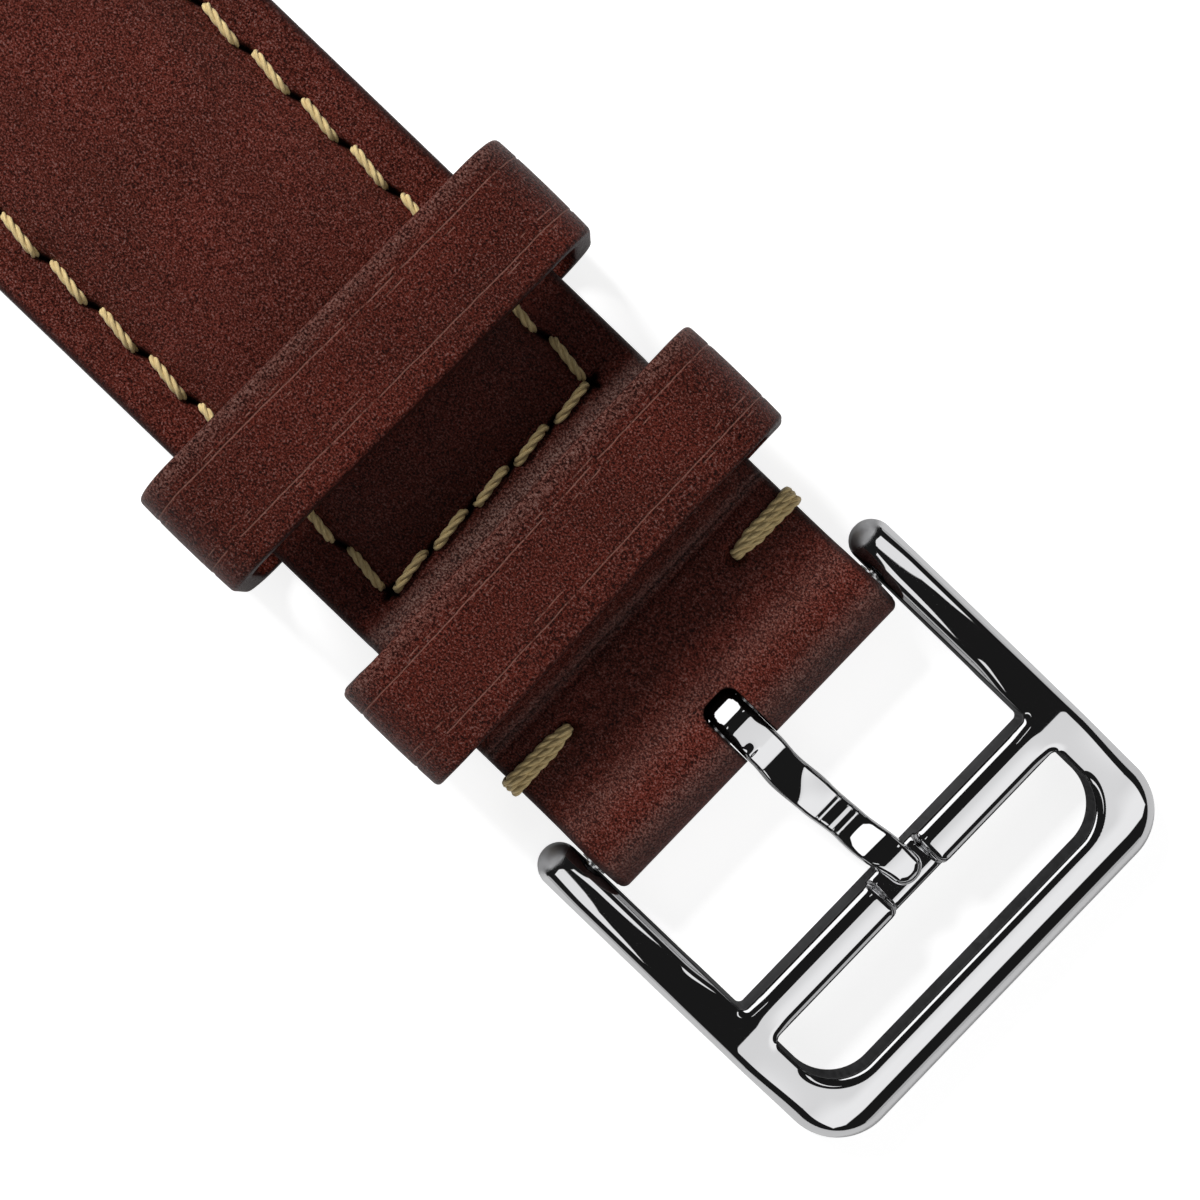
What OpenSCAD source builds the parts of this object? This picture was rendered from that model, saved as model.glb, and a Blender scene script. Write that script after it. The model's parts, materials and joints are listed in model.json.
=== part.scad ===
// Buckle half of a padded leather watch strap, with its two keepers, buckle and spring bars.
// Millimetres. +X runs from the watch to the buckle, +Y across the strap, +Z away from the wrist.
// The origin is on the strap's wrist side, straight below the axis of the lug spring bar.

/* [Strap] */
// Width of the leather
strap_w = 20; // [16:0.5:24]
// Distance from the lug bar's axis to the buckle bar's axis
bar_span = 75; // [68:1:90]
// Thickness of the padded middle, lining included
padded_t = 4.0; // [3.7:0.1:5]
// Thickness of the sewn margin outside the padding
margin_t = 2.6; // [2.4:0.1:3]
// Thickness of the thin end that carries the buckle
thin_t = 2.8; // [2.7:0.1:3.3]
// Thickness of the upper leather
upper_t = 1.2; // [1:0.1:1.4]
// Thickness of the lining leather
lining_t = 1.0; // [0.8:0.1:1.2]
// Length of the thick end at the watch, from the lug bar's axis to where the wrist side starts to rise
thick_end_l = 5; // [4:0.5:8]
// Length over which the wrist side rises
rise_l = 17; // [12:1:22]
// Length of the leather that is turned under at the lug bar
lug_flap_l = 9; // [7:0.5:11]

/* [Seam] */
// Distance from the seam to the strap's edge
seam_inset = 2.7; // [2.3:0.1:3.2]
// Distance from the cross seam to the buckle bar's axis
cross_seam_back = 16.9; // [16:0.1:20]
// Length of one stitch, from hole to hole
stitch_l = 3.45; // [2.8:0.05:4]
// Number of stitches in the cross seam
cross_stitches = 5; // [3:1:8]
// Distance from the lug bar's axis within which no stitch is sewn
seam_start = 6; // [5:0.5:9]
// Thickness of the thread
thread_d = 0.52; // [0.4:0.02:0.6]
// Diameter of an awl hole
awl_d = 0.9; // [0.8:0.05:1]
// Distance from the bar tacks to the buckle bar's axis
tack_back = 5.7; // [5.2:0.1:6.2]
// Reach of a bar tack in from the strap's edge
tack_l = 3.9; // [3:0.1:5]
// Thickness of a bar tack's strand
tack_d = 0.42; // [0.3:0.02:0.5]

/* [Keepers] */
// Length of each keeper along the strap
keeper_l = 6.6; // [5:0.1:8]
// Thickness of a keeper's band
keeper_t = 1.2; // [1:0.1:1.5]
// Thickness of a keeper's lower run, which is pared down
run_t = 0.95; // [0.8:0.05:1.1]
// Air between the strap's edge and a keeper's side
keeper_air = 1.3; // [0.8:0.1:2]
// Room over the strap for its other half's tail
tail_room = 2.8; // [2:0.1:3.5]
// Distance from the fixed keeper's middle to the buckle bar's axis
fixed_back = 11.85; // [11:0.05:12.6]
// Distance from the loose keeper's middle to the buckle bar's axis
loose_back = 25.3; // [23:0.1:30]

/* [Buckle] */
// Width of a side arm, seen from above
arm_w = 2.3; // [1.8:0.1:2.8]
// Width of the outer bar
outer_w = 2.7; // [2.2:0.1:3.2]
// Width of the crossbar
crossbar_w = 2.2; // [1.8:0.1:2.6]
// Height of the frame's bars
frame_h = 2.9; // [2.6:0.1:3.2]
// Height that the crossbar stands over the arms
crossbar_rise = 0.15; // [0:0.05:0.3]
// Reach of the frame past the bar's axis
frame_reach = 19.7; // [19:0.1:24]
// Reach of the arms behind the bar's axis
arm_tail = 2.3; // [2:0.1:2.6]
// Distance from the bar's axis to the crossbar
crossbar_out = 10.5; // [9.5:0.1:11]
// Outer corner radius of the frame
corner_r = 3.2; // [3:0.1:4]
// Corner radius of the slot at its outer side
slot_r = 2.2; // [1.6:0.1:2.4]
// Width of the notch that the tongue rests in
notch_w = 3.2; // [2.9:0.1:3.8]
// Depth of that notch
notch_d = 0.9; // [0.7:0.05:1]
// Sideways place of the notch
notch_y = 0.45; // [0:0.05:0.6]
// Air between the strap's edge and an arm
arm_air = 0.25; // [0.15:0.05:0.5]

/* [Tongue] */
// Width of the tongue
tongue_w = 2.1; // [1.7:0.1:2.3]
// Thickness of its blade
tongue_t = 1.1; // [0.9:0.05:1.25]
// Thickness of the metal round the bar
eye_t = 0.55; // [0.45:0.05:0.65]

/* [Spring bars] */
// Outer diameter of the tube
tube_d = 1.5; // [1.4:0.05:1.6]
// Wall of the tube
tube_wall = 0.2; // [0.15:0.01:0.22]
// Diameter of a pin's tip
tip_d = 0.8; // [0.7:0.05:0.85]
// Length of a pin's tip past its collar
tip_l = 1.05; // [0.9:0.05:1.15]
// Width of each collar, and of the groove between the two
collar_l = 0.32; // [0.25:0.01:0.4]
// Travel of a pin into its tube
pin_travel = 1.15; // [1.1:0.05:1.3]
// Length of a pin's head inside the tube
head_l = 1.5; // [1:0.1:2]
// Diameter of the coil spring's wire
wire_d = 0.16; // [0.12:0.01:0.18]

/* [Fits] */
// Radial clearance of a bar in a leather loop
loop_fit = 0.07; // [0.04:0.01:0.1]
// Radial clearance of the metal parts that turn or slide on each other
metal_fit = 0.05; // [0.03:0.01:0.08]
// Glue line between layers that are stuck together
glue = 0.02; // [0.01:0.01:0.04]
// Clearance of the loose keeper under the strap
slide_fit = 0.12; // [0.08:0.02:0.2]

/* [Hidden] */
$fn = 48;

leather = [0.30, 0.10, 0.09];
leather_dark = [0.24, 0.08, 0.07];
felt = [0.75, 0.68, 0.55];
thread = [0.72, 0.60, 0.40];
steel = [0.80, 0.81, 0.83];
spring_steel = [0.55, 0.56, 0.58];

// Heights of the strap's layers
lift = run_t + slide_fit;
tube_r = tube_d / 2;
loop_bore_r = tube_r + loop_fit;
loop_r = loop_bore_r + upper_t;
lug_z = lining_t + glue + loop_r;
buckle_x = bar_span;
buckle_z = lift + thin_t / 2 + 0.15;
pad_top = lift + padded_t;
margin_top = lift + margin_t;
thin_top = lift + thin_t;
half_w = strap_w / 2;
edge_bevel = 0.35;
lug_ramp_l = 9;
buckle_ramp_l = 4.2;

// Places along the strap
seam_x = buckle_x - cross_seam_back;
fixed_x = buckle_x - fixed_back;
loose_x = buckle_x - loose_back;
tack_x = buckle_x - tack_back;
lining_start = -1;
lining_end = fixed_x - keeper_l / 2 - 0.6;
rise_end = thick_end_l + rise_l;
pad_start = loop_r + 1.3;
pad_end = seam_x - 0.6;

// The seam
seam_y = half_w - seam_inset;
cross_l = 2 * seam_y / cross_stitches;
side_count = floor((seam_x - seam_start) / stitch_l);
thread_r = thread_d / 2;
knot_r = 1.15 * thread_r;
crown_half = seam_y + 0.6;
pad_half = seam_y + 0.8;
seam_top = crown_z(seam_y);
groove_d = 0.62;
groove_w = thread_d + 0.2;
stitch_crest = seam_top + 0.05;
lock_z = lift + lining_t + 0.3;
under_sink = groove_d - thread_d - 0.01;
seam_end_x = seam_x - side_count * stitch_l - awl_d / 2;
lap_stitch_l = 2.2;
lap_stitch_w = 0.44;

// The fixed keeper passes between the upper leather and the leather turned under
run_z = lift + 1.1;
run_bulge = run_z + run_t + upper_t;
keeper_half = half_w + keeper_air + keeper_t;
keeper_corner = 2.4;

// The buckle
arm_y = half_w + arm_air + arm_w / 2;
frame_half_h = frame_h / 2;
frame_round = 0.95;
frame_edge = 0.3;
crossbar_x = crossbar_out + crossbar_w / 2;
outer_x = frame_reach - outer_w / 2;
notch_z = frame_half_h + crossbar_rise - notch_d;
droop_reach = frame_reach - frame_edge;
droop = asin(buckle_z / norm([droop_reach, frame_half_h])) - atan(frame_half_h / droop_reach) - 0.1;
tip_bore_r = tip_d / 2 + metal_fit;

// The spring bars
buckle_collar = half_w + arm_air - 0.1;
lug_collar = half_w;
crimp_l = 0.35;
travel_spare = 0.05;
head_r = tube_r - tube_wall - metal_fit;

// The tongue and the slot that it swings in
eye_r = tube_r + metal_fit + eye_t;
tongue_end = crossbar_out + crossbar_w - 0.2;
slot_back = eye_r + 0.15;
slot_half = tongue_w / 2 + 0.3;

// Height of the padded crown at a distance from the middle line
function crown_z(y) = margin_top
    + (padded_t - margin_t) * cos(90 * min(1, pow(abs(y) / crown_half, 2)));

// Height of the strap's wrist side along its length
function under_z(x) = lift * min(1, max(0, (x - thick_end_l) / rise_l));

// Extrudes an outline drawn in X and Z to both sides of the middle line
module across(width) {
    rotate([90, 0, 0])
        linear_extrude(height = width, center = true)
            children();
}

// Extrudes an outline drawn in Y and Z along X, from x = 0
module along(length) {
    rotate([90, 0, 90])
        linear_extrude(height = length)
            children();
}

// A rod from one point to another in the plane of X and Z
module rod_xz(from, to, radius) {
    run = to - from;
    translate([from[0], 0, from[1]])
        rotate([0, 90 - atan2(run[1], run[0]), 0])
            cylinder(h = norm(run), r = radius, $fn = 16);
}

// A rectangle with round corners, centred on x, standing on y = 0
module round_box(width, height, radius) {
    translate([-width / 2 + radius, 0])
        square([width - 2 * radius, height]);
    translate([-width / 2, radius])
        square([width, height - 2 * radius]);
    for (side = [-1, 1], level = [radius, height - radius])
        translate([side * (width / 2 - radius), level])
            circle(r = radius);
}

// The leather

module strap_side_outline() {
    polygon([
        [0, 0],
        [thick_end_l, 0],
        [rise_end, lift],
        [buckle_x - 2.4, lift],
        [buckle_x, buckle_z - loop_r],
        [buckle_x, buckle_z + loop_r],
        [buckle_x - 1.2, buckle_z + loop_r - 0.25],
        [buckle_x - 2.9, thin_top],
        [fixed_x + keeper_l / 2 + 1.6, thin_top],
        [fixed_x + keeper_l / 2 + 0.7, thin_top - 0.15],
        [fixed_x + keeper_l / 2 - 0.1, run_bulge],
        [seam_x + 1.5, run_bulge],
        [seam_x + 0.6, seam_top + 0.05],
        [seam_x - 0.6, seam_top + 0.2],
        [seam_x - 2.2, pad_top],
        [pad_start, pad_top],
        [0, lug_z + loop_r],
    ]);
    translate([0, lug_z])
        circle(r = loop_r);
    translate([buckle_x, buckle_z])
        circle(r = loop_r);
}

module crown_outline() {
    steps = 20;
    half_flat = half_w - edge_bevel;
    polygon(concat(
        [[-half_w, -1], [half_w, -1], [half_w, margin_top - edge_bevel], [half_flat, margin_top]],
        [for (i = [steps:-1:-steps]) [crown_half * i / steps, crown_z(crown_half * i / steps)]],
        [[-half_flat, margin_top], [-half_w, margin_top - edge_bevel]]
    ));
}

module crown_solid() {
    translate([-loop_r - 1, 0, 0])
        along(bar_span + 2 * loop_r + 2)
            crown_outline();
}

// Level ends round the bars, which slope down to the margins beside the crown
module level_ends_outline() {
    low = margin_top - edge_bevel;
    polygon([
        [-loop_r - 1, -1],
        [lug_ramp_l, -1],
        [lug_ramp_l, low],
        [lug_ramp_l - 1, low + 0.1],
        [0.5, lug_z + loop_r],
        [-loop_r - 1, 2 * pad_top],
    ]);
    polygon([
        [buckle_x - buckle_ramp_l, -1],
        [buckle_x + loop_r + 1, -1],
        [buckle_x + loop_r + 1, 2 * pad_top],
        [buckle_x - 0.5, buckle_z + loop_r],
        [buckle_x - buckle_ramp_l + 0.5, low + 0.1],
        [buckle_x - buckle_ramp_l, low],
    ]);
}

module strap_form() {
    intersection() {
        across(strap_w)
            strap_side_outline();
        union() {
            crown_solid();
            across(strap_w + 1)
                level_ends_outline();
        }
    }
}

module lining_form(gap) {
    across(strap_w + 1)
        polygon([
            [lining_start - gap, -1],
            [thick_end_l, -1],
            [lining_end + gap, -1],
            [lining_end + gap, lift + lining_t + gap],
            [rise_end, lift + lining_t + gap],
            [thick_end_l, lining_t + gap],
            [lining_start - gap, lining_t + gap],
        ]);
}

// The hollow over the lining and the turned leather, under the upper leather
module padding_form(gap) {
    flap_top = under_z(lug_flap_l) + lining_t + upper_t;
    intersection() {
        translate([0, 0, -upper_t - gap])
            strap_form();
        across(2 * (pad_half - gap))
            polygon([
                [pad_start + gap, lining_t + upper_t + gap],
                [lug_flap_l, flap_top + gap],
                [lug_flap_l + 1.5, under_z(lug_flap_l + 1.5) + lining_t + gap],
                [rise_end, lift + lining_t + gap],
                [pad_end - gap, lift + lining_t + gap],
                [pad_end - gap, 2 * pad_top],
                [pad_start + gap, 2 * pad_top],
            ]);
    }
}

// Places of the awl holes: both side seams, then the holes of the cross seam between them
function seam_holes() = concat(
    [for (side = [-1, 1], k = [0:side_count]) [seam_x - k * stitch_l, side * seam_y]],
    [for (j = [1:1:cross_stitches - 1]) [seam_x, -seam_y + j * cross_l]]
);

module awl_holes() {
    for (hole = seam_holes())
        translate([hole[0], hole[1], -1])
            cylinder(h = 2 * pad_top, d = awl_d, $fn = 24);
}

// Grooves that the stitches lie in, cut from a height upwards
module seam_grooves(floor_z, height) {
    for (side = [-1, 1])
        translate([seam_end_x, side * seam_y - groove_w / 2, floor_z])
            cube([seam_x + awl_d / 2 - seam_end_x, groove_w, height]);
    translate([seam_x - groove_w / 2, -seam_y, floor_z])
        cube([groove_w, 2 * seam_y, height]);
}

module tongue_slot() {
    corner = 0.5;
    translate([buckle_x - slot_back + corner, -slot_half, -1])
        cube([slot_back + loop_r + 1, 2 * slot_half, 2 * pad_top]);
    translate([buckle_x - slot_back, -slot_half + corner, -1])
        cube([slot_back, 2 * (slot_half - corner), 2 * pad_top]);
    for (side = [-1, 1])
        translate([buckle_x - slot_back + corner, side * (slot_half - corner), -1])
            cylinder(h = 2 * pad_top, r = corner, $fn = 24);
}

module tack_holes() {
    for (side = [-1, 1])
        translate([tack_x - 2 * tack_d, side * (half_w - tack_l) - tack_d, -1])
            cube([4 * tack_d, 2 * tack_d, 2 * pad_top]);
}

module upper_leather() {
    color(leather)
        difference() {
            strap_form();
            lining_form(glue);
            padding_form(0);
            for (bar = [[0, lug_z], [buckle_x, buckle_z]])
                translate([bar[0], 0, bar[1]])
                    rotate([90, 0, 0])
                        cylinder(h = strap_w + 2, r = loop_bore_r, center = true);
            keeper_ring(fixed_x, run_z, run_bulge + tail_room, glue);
            awl_holes();
            seam_grooves(seam_top - groove_d, pad_top);
            tongue_slot();
            tack_holes();
        }
}

module lining_leather() {
    color(leather_dark)
        difference() {
            across(strap_w)
                polygon([
                    [lining_start, 0],
                    [thick_end_l, 0],
                    [rise_end, lift],
                    [lining_end, lift],
                    [lining_end, lift + lining_t],
                    [rise_end, lift + lining_t],
                    [thick_end_l, lining_t],
                    [lining_start, lining_t],
                ]);
            awl_holes();
            for (side = [-1, 1])
                translate([0, side * seam_y, 0])
                    across(groove_w)
                        polygon([
                            [seam_end_x, -1],
                            [seam_x + awl_d / 2, -1],
                            [seam_x + awl_d / 2, lift + groove_d],
                            [rise_end, lift + groove_d],
                            [seam_end_x, under_z(seam_end_x) + groove_d],
                        ]);
            translate([seam_x - groove_w / 2, -seam_y, -1])
                cube([groove_w, 2 * seam_y, 1 + lift + groove_d]);
        }
}

module padding_core() {
    color(felt)
        difference() {
            padding_form(glue);
            awl_holes();
        }
}

// The seam: each stitch is an arc that dives into the holes at its ends

module stitch_arc(length) {
    dive = stitch_crest - (seam_top - groove_d);
    radius = (length * length / 4 + dive * dive) / (2 * dive);
    half_angle = asin(length / 2 / radius);
    translate([0, 0, stitch_crest - radius])
        rotate([90, 0, 0])
            rotate([0, 0, 90 - half_angle])
                rotate_extrude(angle = 2 * half_angle)
                    translate([radius, 0])
                        circle(r = thread_r, $fn = 16);
}

module upper_seam_thread() {
    leg_top = seam_top - groove_d;
    color(thread)
        union() {
            for (side = [-1, 1], k = [0:side_count - 1])
                translate([seam_x - (k + 0.5) * stitch_l, side * seam_y, 0])
                    stitch_arc(stitch_l);
            for (j = [0:cross_stitches - 1])
                translate([seam_x, -seam_y + (j + 0.5) * cross_l, 0])
                    rotate([0, 0, 90])
                        stitch_arc(cross_l);
            for (hole = seam_holes())
                translate([hole[0], hole[1], 0]) {
                    translate([0, 0, lock_z])
                        cylinder(h = leg_top - lock_z, r = thread_r, $fn = 16);
                    translate([0, 0, leg_top])
                        sphere(r = knot_r, $fn = 16);
                }
        }
}

module lower_seam_thread() {
    rise = under_sink + thread_r;
    color(thread)
        union() {
            for (side = [-1, 1], k = [0:side_count - 1]) {
                right = seam_x - k * stitch_l;
                left = right - stitch_l;
                translate([0, side * seam_y, 0])
                    rod_xz([left, under_z(left) + rise], [right, under_z(right) + rise], thread_r);
            }
            for (j = [0:cross_stitches - 1])
                translate([seam_x, -seam_y + j * cross_l, lift + rise])
                    rotate([-90, 0, 0])
                        cylinder(h = cross_l, r = thread_r, $fn = 16);
            for (hole = seam_holes())
                translate([hole[0], hole[1], under_z(hole[0]) + rise]) {
                    cylinder(h = lock_z - glue - under_z(hole[0]) - rise, r = thread_r, $fn = 16);
                    sphere(r = knot_r, $fn = 16);
                }
        }
}

// A bar tack: strands drawn over the strap's edge and back up through one hole
module bar_tack(side) {
    strand_r = tack_d / 2;
    low = lift - strand_r - glue;
    high = thin_top + strand_r + glue;
    inner = half_w - tack_l;
    outer = half_w + strand_r + glue;
    color(thread)
        for (strand = [-1, 0, 1])
            translate([tack_x + strand * tack_d, 0, 0]) {
                for (y = [inner, outer])
                    translate([0, side * y, low])
                        cylinder(h = high - low, r = strand_r, $fn = 16);
                for (z = [low, high])
                    translate([0, side * inner, z])
                        rotate([-90 * side, 0, 0])
                            cylinder(h = outer - inner, r = strand_r, $fn = 16);
                for (y = [inner, outer], z = [low, high])
                    translate([0, side * y, z])
                        sphere(r = strand_r, $fn = 16);
            }
}

module bar_tack_left() {
    bar_tack(-1);
}

module bar_tack_right() {
    bar_tack(1);
}

// The keepers

module keeper_ring(middle, floor_z, inner_top, gap) {
    height = inner_top + keeper_t - floor_z;
    difference() {
        translate([middle - keeper_l / 2 - gap, 0, floor_z - gap])
            along(keeper_l + 2 * gap)
                round_box(2 * (keeper_half + gap), height + 2 * gap, keeper_corner);
        translate([middle - keeper_l / 2 - 1, 0, floor_z + run_t + gap])
            along(keeper_l + 2)
                round_box(2 * (keeper_half - keeper_t - gap), height - run_t - keeper_t - 2 * gap,
                    keeper_corner - keeper_t);
    }
}

module fixed_keeper() {
    color(leather)
        keeper_ring(fixed_x, run_z, run_bulge + tail_room, 0);
}

// Stitches that close the loose keeper's lapped ends, sunk in its lower run
module keeper_stitch_shape(gap) {
    half_l = lap_stitch_l / 2;
    half_t = lap_stitch_w / 2;
    sink = 0.3;
    for (end = [-1, 1])
        translate([loose_x + end * keeper_l / 4, 0, 0]) {
            translate([-half_t - gap, -half_l - gap, -1])
                cube([2 * (half_t + gap), 2 * (half_l + gap), 1 + sink + gap]);
            for (side = [-1, 1])
                translate([0, side * (half_l - 1.2 * half_t), 0])
                    cylinder(h = run_t - 0.1, r = 0.8 * half_t + gap, $fn = 16);
        }
}

module floating_keeper() {
    color(leather)
        difference() {
            keeper_ring(loose_x, 0, pad_top + tail_room, 0);
            keeper_stitch_shape(glue);
        }
}

module floating_keeper_thread() {
    color(thread)
        intersection() {
            keeper_stitch_shape(0);
            translate([loose_x - keeper_l, -keeper_half, 0.05])
                cube([2 * keeper_l, 2 * keeper_half, run_t]);
        }
}

// The buckle, drawn round its own axis at the origin and then hung on the bar

module on_buckle_bar() {
    translate([buckle_x, 0, buckle_z])
        rotate([0, droop, 0])
            children();
}

// Section of a bar of the frame: round top edges and softened lower edges
module bar_section(width, top, bottom, round) {
    height = top - bottom;
    translate([-width / 2, bottom + frame_edge])
        square([width, height - frame_edge - round]);
    translate([-width / 2 + frame_edge, bottom])
        square([width - 2 * frame_edge, height - round]);
    translate([-width / 2 + round, top - 2 * round])
        square([width - 2 * round, 2 * round]);
    for (side = [-1, 1]) {
        translate([side * (width / 2 - round), top - round])
            circle(r = round);
        translate([side * (width / 2 - frame_edge), bottom + frame_edge])
            circle(r = frame_edge);
    }
}

module frame_arms() {
    for (side = [-1, 1])
        intersection() {
            translate([-arm_tail, side * arm_y, 0])
                along(frame_reach - corner_r + arm_tail)
                    bar_section(arm_w, frame_half_h, -frame_half_h, frame_round);
            union() {
                translate([-arm_tail + arm_w / 2, side * arm_y - arm_w, -frame_h])
                    cube([frame_reach, 2 * arm_w, 2 * frame_h]);
                translate([-arm_tail + arm_w / 2, side * arm_y, -frame_h])
                    cylinder(h = 2 * frame_h, d = arm_w);
            }
            union() {
                translate([-arm_tail + frame_half_h, side * arm_y - arm_w, -frame_h])
                    cube([frame_reach, 2 * arm_w, 2 * frame_h]);
                translate([-arm_tail + frame_half_h, side * arm_y, 0])
                    rotate([90, 0, 0])
                        cylinder(h = 2 * arm_w, r = frame_half_h, center = true);
            }
        }
}

module frame_corners() {
    for (side = [-1, 1])
        mirror([0, side < 0 ? 1 : 0, 0]) {
            translate([frame_reach - corner_r, half_w + arm_air + arm_w - corner_r, 0])
                rotate_extrude(angle = 90)
                    intersection() {
                        translate([corner_r - arm_w / 2, 0])
                            bar_section(arm_w, frame_half_h, -frame_half_h, frame_round);
                        translate([0, -frame_h])
                            square([2 * corner_r, 2 * frame_h]);
                    }
            translate([frame_reach - outer_w - slot_r, half_w + arm_air - slot_r, 0])
                rotate_extrude(angle = 90)
                    translate([slot_r + arm_w / 2, 0])
                        bar_section(arm_w, frame_half_h, -frame_half_h, frame_round);
        }
}

module frame_bars() {
    translate([outer_x, 0, 0])
        across(2 * (half_w + arm_air + arm_w - corner_r))
            bar_section(outer_w, frame_half_h, -frame_half_h, frame_round);
    translate([crossbar_x, 0, 0])
        across(2 * arm_y)
            bar_section(crossbar_w, frame_half_h + crossbar_rise, -frame_half_h, 0.8);
}

module buckle_frame() {
    color(steel)
        on_buckle_bar()
            difference() {
                union() {
                    frame_arms();
                    frame_corners();
                    frame_bars();
                }
                translate([crossbar_out - 1, notch_y, 0])
                    along(crossbar_w + 2)
                        polygon([
                            [-notch_w / 2 + 0.4, notch_z],
                            [notch_w / 2 - 0.4, notch_z],
                            [notch_w / 2, notch_z + 0.4],
                            [notch_w / 2 + 0.2, notch_z + 2],
                            [-notch_w / 2 - 0.2, notch_z + 2],
                            [-notch_w / 2, notch_z + 0.4],
                        ]);
                // The arms are filed down towards their ends, which leaves a long pointed flat on top
                translate([crossbar_out - 2, -2 * half_w, frame_half_h])
                    rotate([0, 180 - 2.6, 0])
                        translate([0, 0, -frame_h])
                            cube([2 * crossbar_out, 4 * half_w, frame_h]);
                for (side = [-1, 1])
                    translate([0, side * (half_w + arm_air - 1), 0])
                        rotate([-90 * side, 0, 0])
                            cylinder(h = 1 + tip_l + 0.25, r = tip_bore_r);
            }
}

module tongue_blade_outline() {
    rest = notch_z + glue;
    crest = rest + tongue_t + 0.1;
    polygon([
        [0.2, eye_r - tongue_t],
        [0.2, eye_r - 0.12],
        [1.6, eye_r + 0.05],
        [3, eye_r + 0.08],
        [6.4, eye_r],
        [8, eye_r - 0.3],
        [9, crest - 0.3],
        [crossbar_out + 0.3, crest],
        [tongue_end - 0.6, crest - 0.1],
        [tongue_end, crest - 0.6],
        [tongue_end - 0.2, rest],
        [crossbar_out - 0.3, rest],
        [8.2, eye_r - 0.3 - tongue_t],
        [3, eye_r - tongue_t],
    ]);
}

// The blade seen from above: it leans a little to the side that the notch is on
module tongue_blade_plan() {
    tip_half = 0.45 * tongue_w;
    polygon([
        [-1, -tongue_w / 2],
        [2, -tongue_w / 2],
        [tongue_end - tip_half, notch_y - tip_half],
        [tongue_end - tip_half, notch_y + tip_half],
        [2, tongue_w / 2],
        [-1, tongue_w / 2],
    ]);
    translate([tongue_end - tip_half, notch_y])
        circle(r = tip_half);
}

module tongue() {
    color(steel)
        on_buckle_bar()
            difference() {
                union() {
                    rotate([90, 0, 0])
                        cylinder(h = tongue_w, r = eye_r, center = true);
                    intersection() {
                        across(3 * tongue_w)
                            tongue_blade_outline();
                        linear_extrude(height = 4 * eye_r, center = true)
                            tongue_blade_plan();
                    }
                }
                rotate([90, 0, 0])
                    cylinder(h = 4 * tongue_w, r = tube_r + metal_fit, center = true);
            }
}

// The spring bars, drawn along Y round the origin

// Half length of the tube, given where the outer collar ends
function tube_half(collar_end) = collar_end - 3 * collar_l - pin_travel - travel_spare;

module bar_tube(collar_end) {
    half = tube_half(collar_end);
    color(steel)
        rotate([90, 0, 0])
            difference() {
                cylinder(h = 2 * half, r = tube_r, center = true);
                cylinder(h = 2 * (half - crimp_l), r = tube_r - tube_wall, center = true);
                cylinder(h = 2 * half + 1, r = tip_bore_r, center = true);
            }
}

// A pin that points to +Y: head in the tube, neck, two collars with a groove between, and tip
module bar_pin(collar_end) {
    head_end = tube_half(collar_end) - crimp_l - glue;
    tip_r = tip_d / 2;
    groove_core_r = tip_r + 0.18;
    bevel = 0.2;
    color(spring_steel)
        rotate([-90, 0, 0]) {
            translate([0, 0, head_end - head_l])
                cylinder(h = head_l, r = head_r);
            translate([0, 0, head_end - bevel])
                cylinder(h = collar_end - head_end, r = tip_r);
            for (k = [1, 3])
                translate([0, 0, collar_end - k * collar_l])
                    cylinder(h = collar_l, r = tube_r - 0.02);
            translate([0, 0, collar_end - 2.5 * collar_l])
                cylinder(h = 2 * collar_l, r = groove_core_r);
            translate([0, 0, collar_end - bevel])
                cylinder(h = tip_l, r = tip_r);
            translate([0, 0, collar_end + tip_l - bevel])
                cylinder(h = bevel, r1 = tip_r, r2 = tip_r - bevel);
        }
}

// The coil spring between the two heads: one sleeve with the wire's outer and inner diameters
module bar_spring(collar_end) {
    reach = tube_half(collar_end) - crimp_l - head_l - 2 * glue;
    color(spring_steel)
        rotate([90, 0, 0])
            difference() {
                cylinder(h = 2 * reach, r = head_r, center = true);
                cylinder(h = 2 * reach + 1, r = head_r - wire_d, center = true);
            }
}

module at_buckle_bar() {
    translate([buckle_x, 0, buckle_z])
        children();
}

module at_lug_bar() {
    translate([0, 0, lug_z])
        children();
}

module buckle_bar_tube() {
    at_buckle_bar()
        bar_tube(buckle_collar);
}

module buckle_bar_spring() {
    at_buckle_bar()
        bar_spring(buckle_collar);
}

module buckle_bar_pin_left() {
    at_buckle_bar()
        mirror([0, 1, 0])
            bar_pin(buckle_collar);
}

module buckle_bar_pin_right() {
    at_buckle_bar()
        bar_pin(buckle_collar);
}

module lug_bar_tube() {
    at_lug_bar()
        bar_tube(lug_collar);
}

module lug_bar_spring() {
    at_lug_bar()
        bar_spring(lug_collar);
}

module lug_bar_pin_left() {
    at_lug_bar()
        mirror([0, 1, 0])
            bar_pin(lug_collar);
}

module lug_bar_pin_right() {
    at_lug_bar()
        bar_pin(lug_collar);
}

upper_leather();
lining_leather();
padding_core();
upper_seam_thread();
lower_seam_thread();
bar_tack_left();
bar_tack_right();
fixed_keeper();
floating_keeper();
floating_keeper_thread();
buckle_frame();
tongue();
buckle_bar_tube();
buckle_bar_spring();
buckle_bar_pin_left();
buckle_bar_pin_right();
lug_bar_tube();
lug_bar_spring();
lug_bar_pin_left();
lug_bar_pin_right();
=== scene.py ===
"""Looks of the buckle half of a padded leather watch strap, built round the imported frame.

Shapes are worked out in millimetres, in the frame's own axes: +X from the watch to the buckle,
+Y across the strap, +Z away from the wrist. They are turned into metres when a mesh is made.
"""

import json
import math

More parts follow.
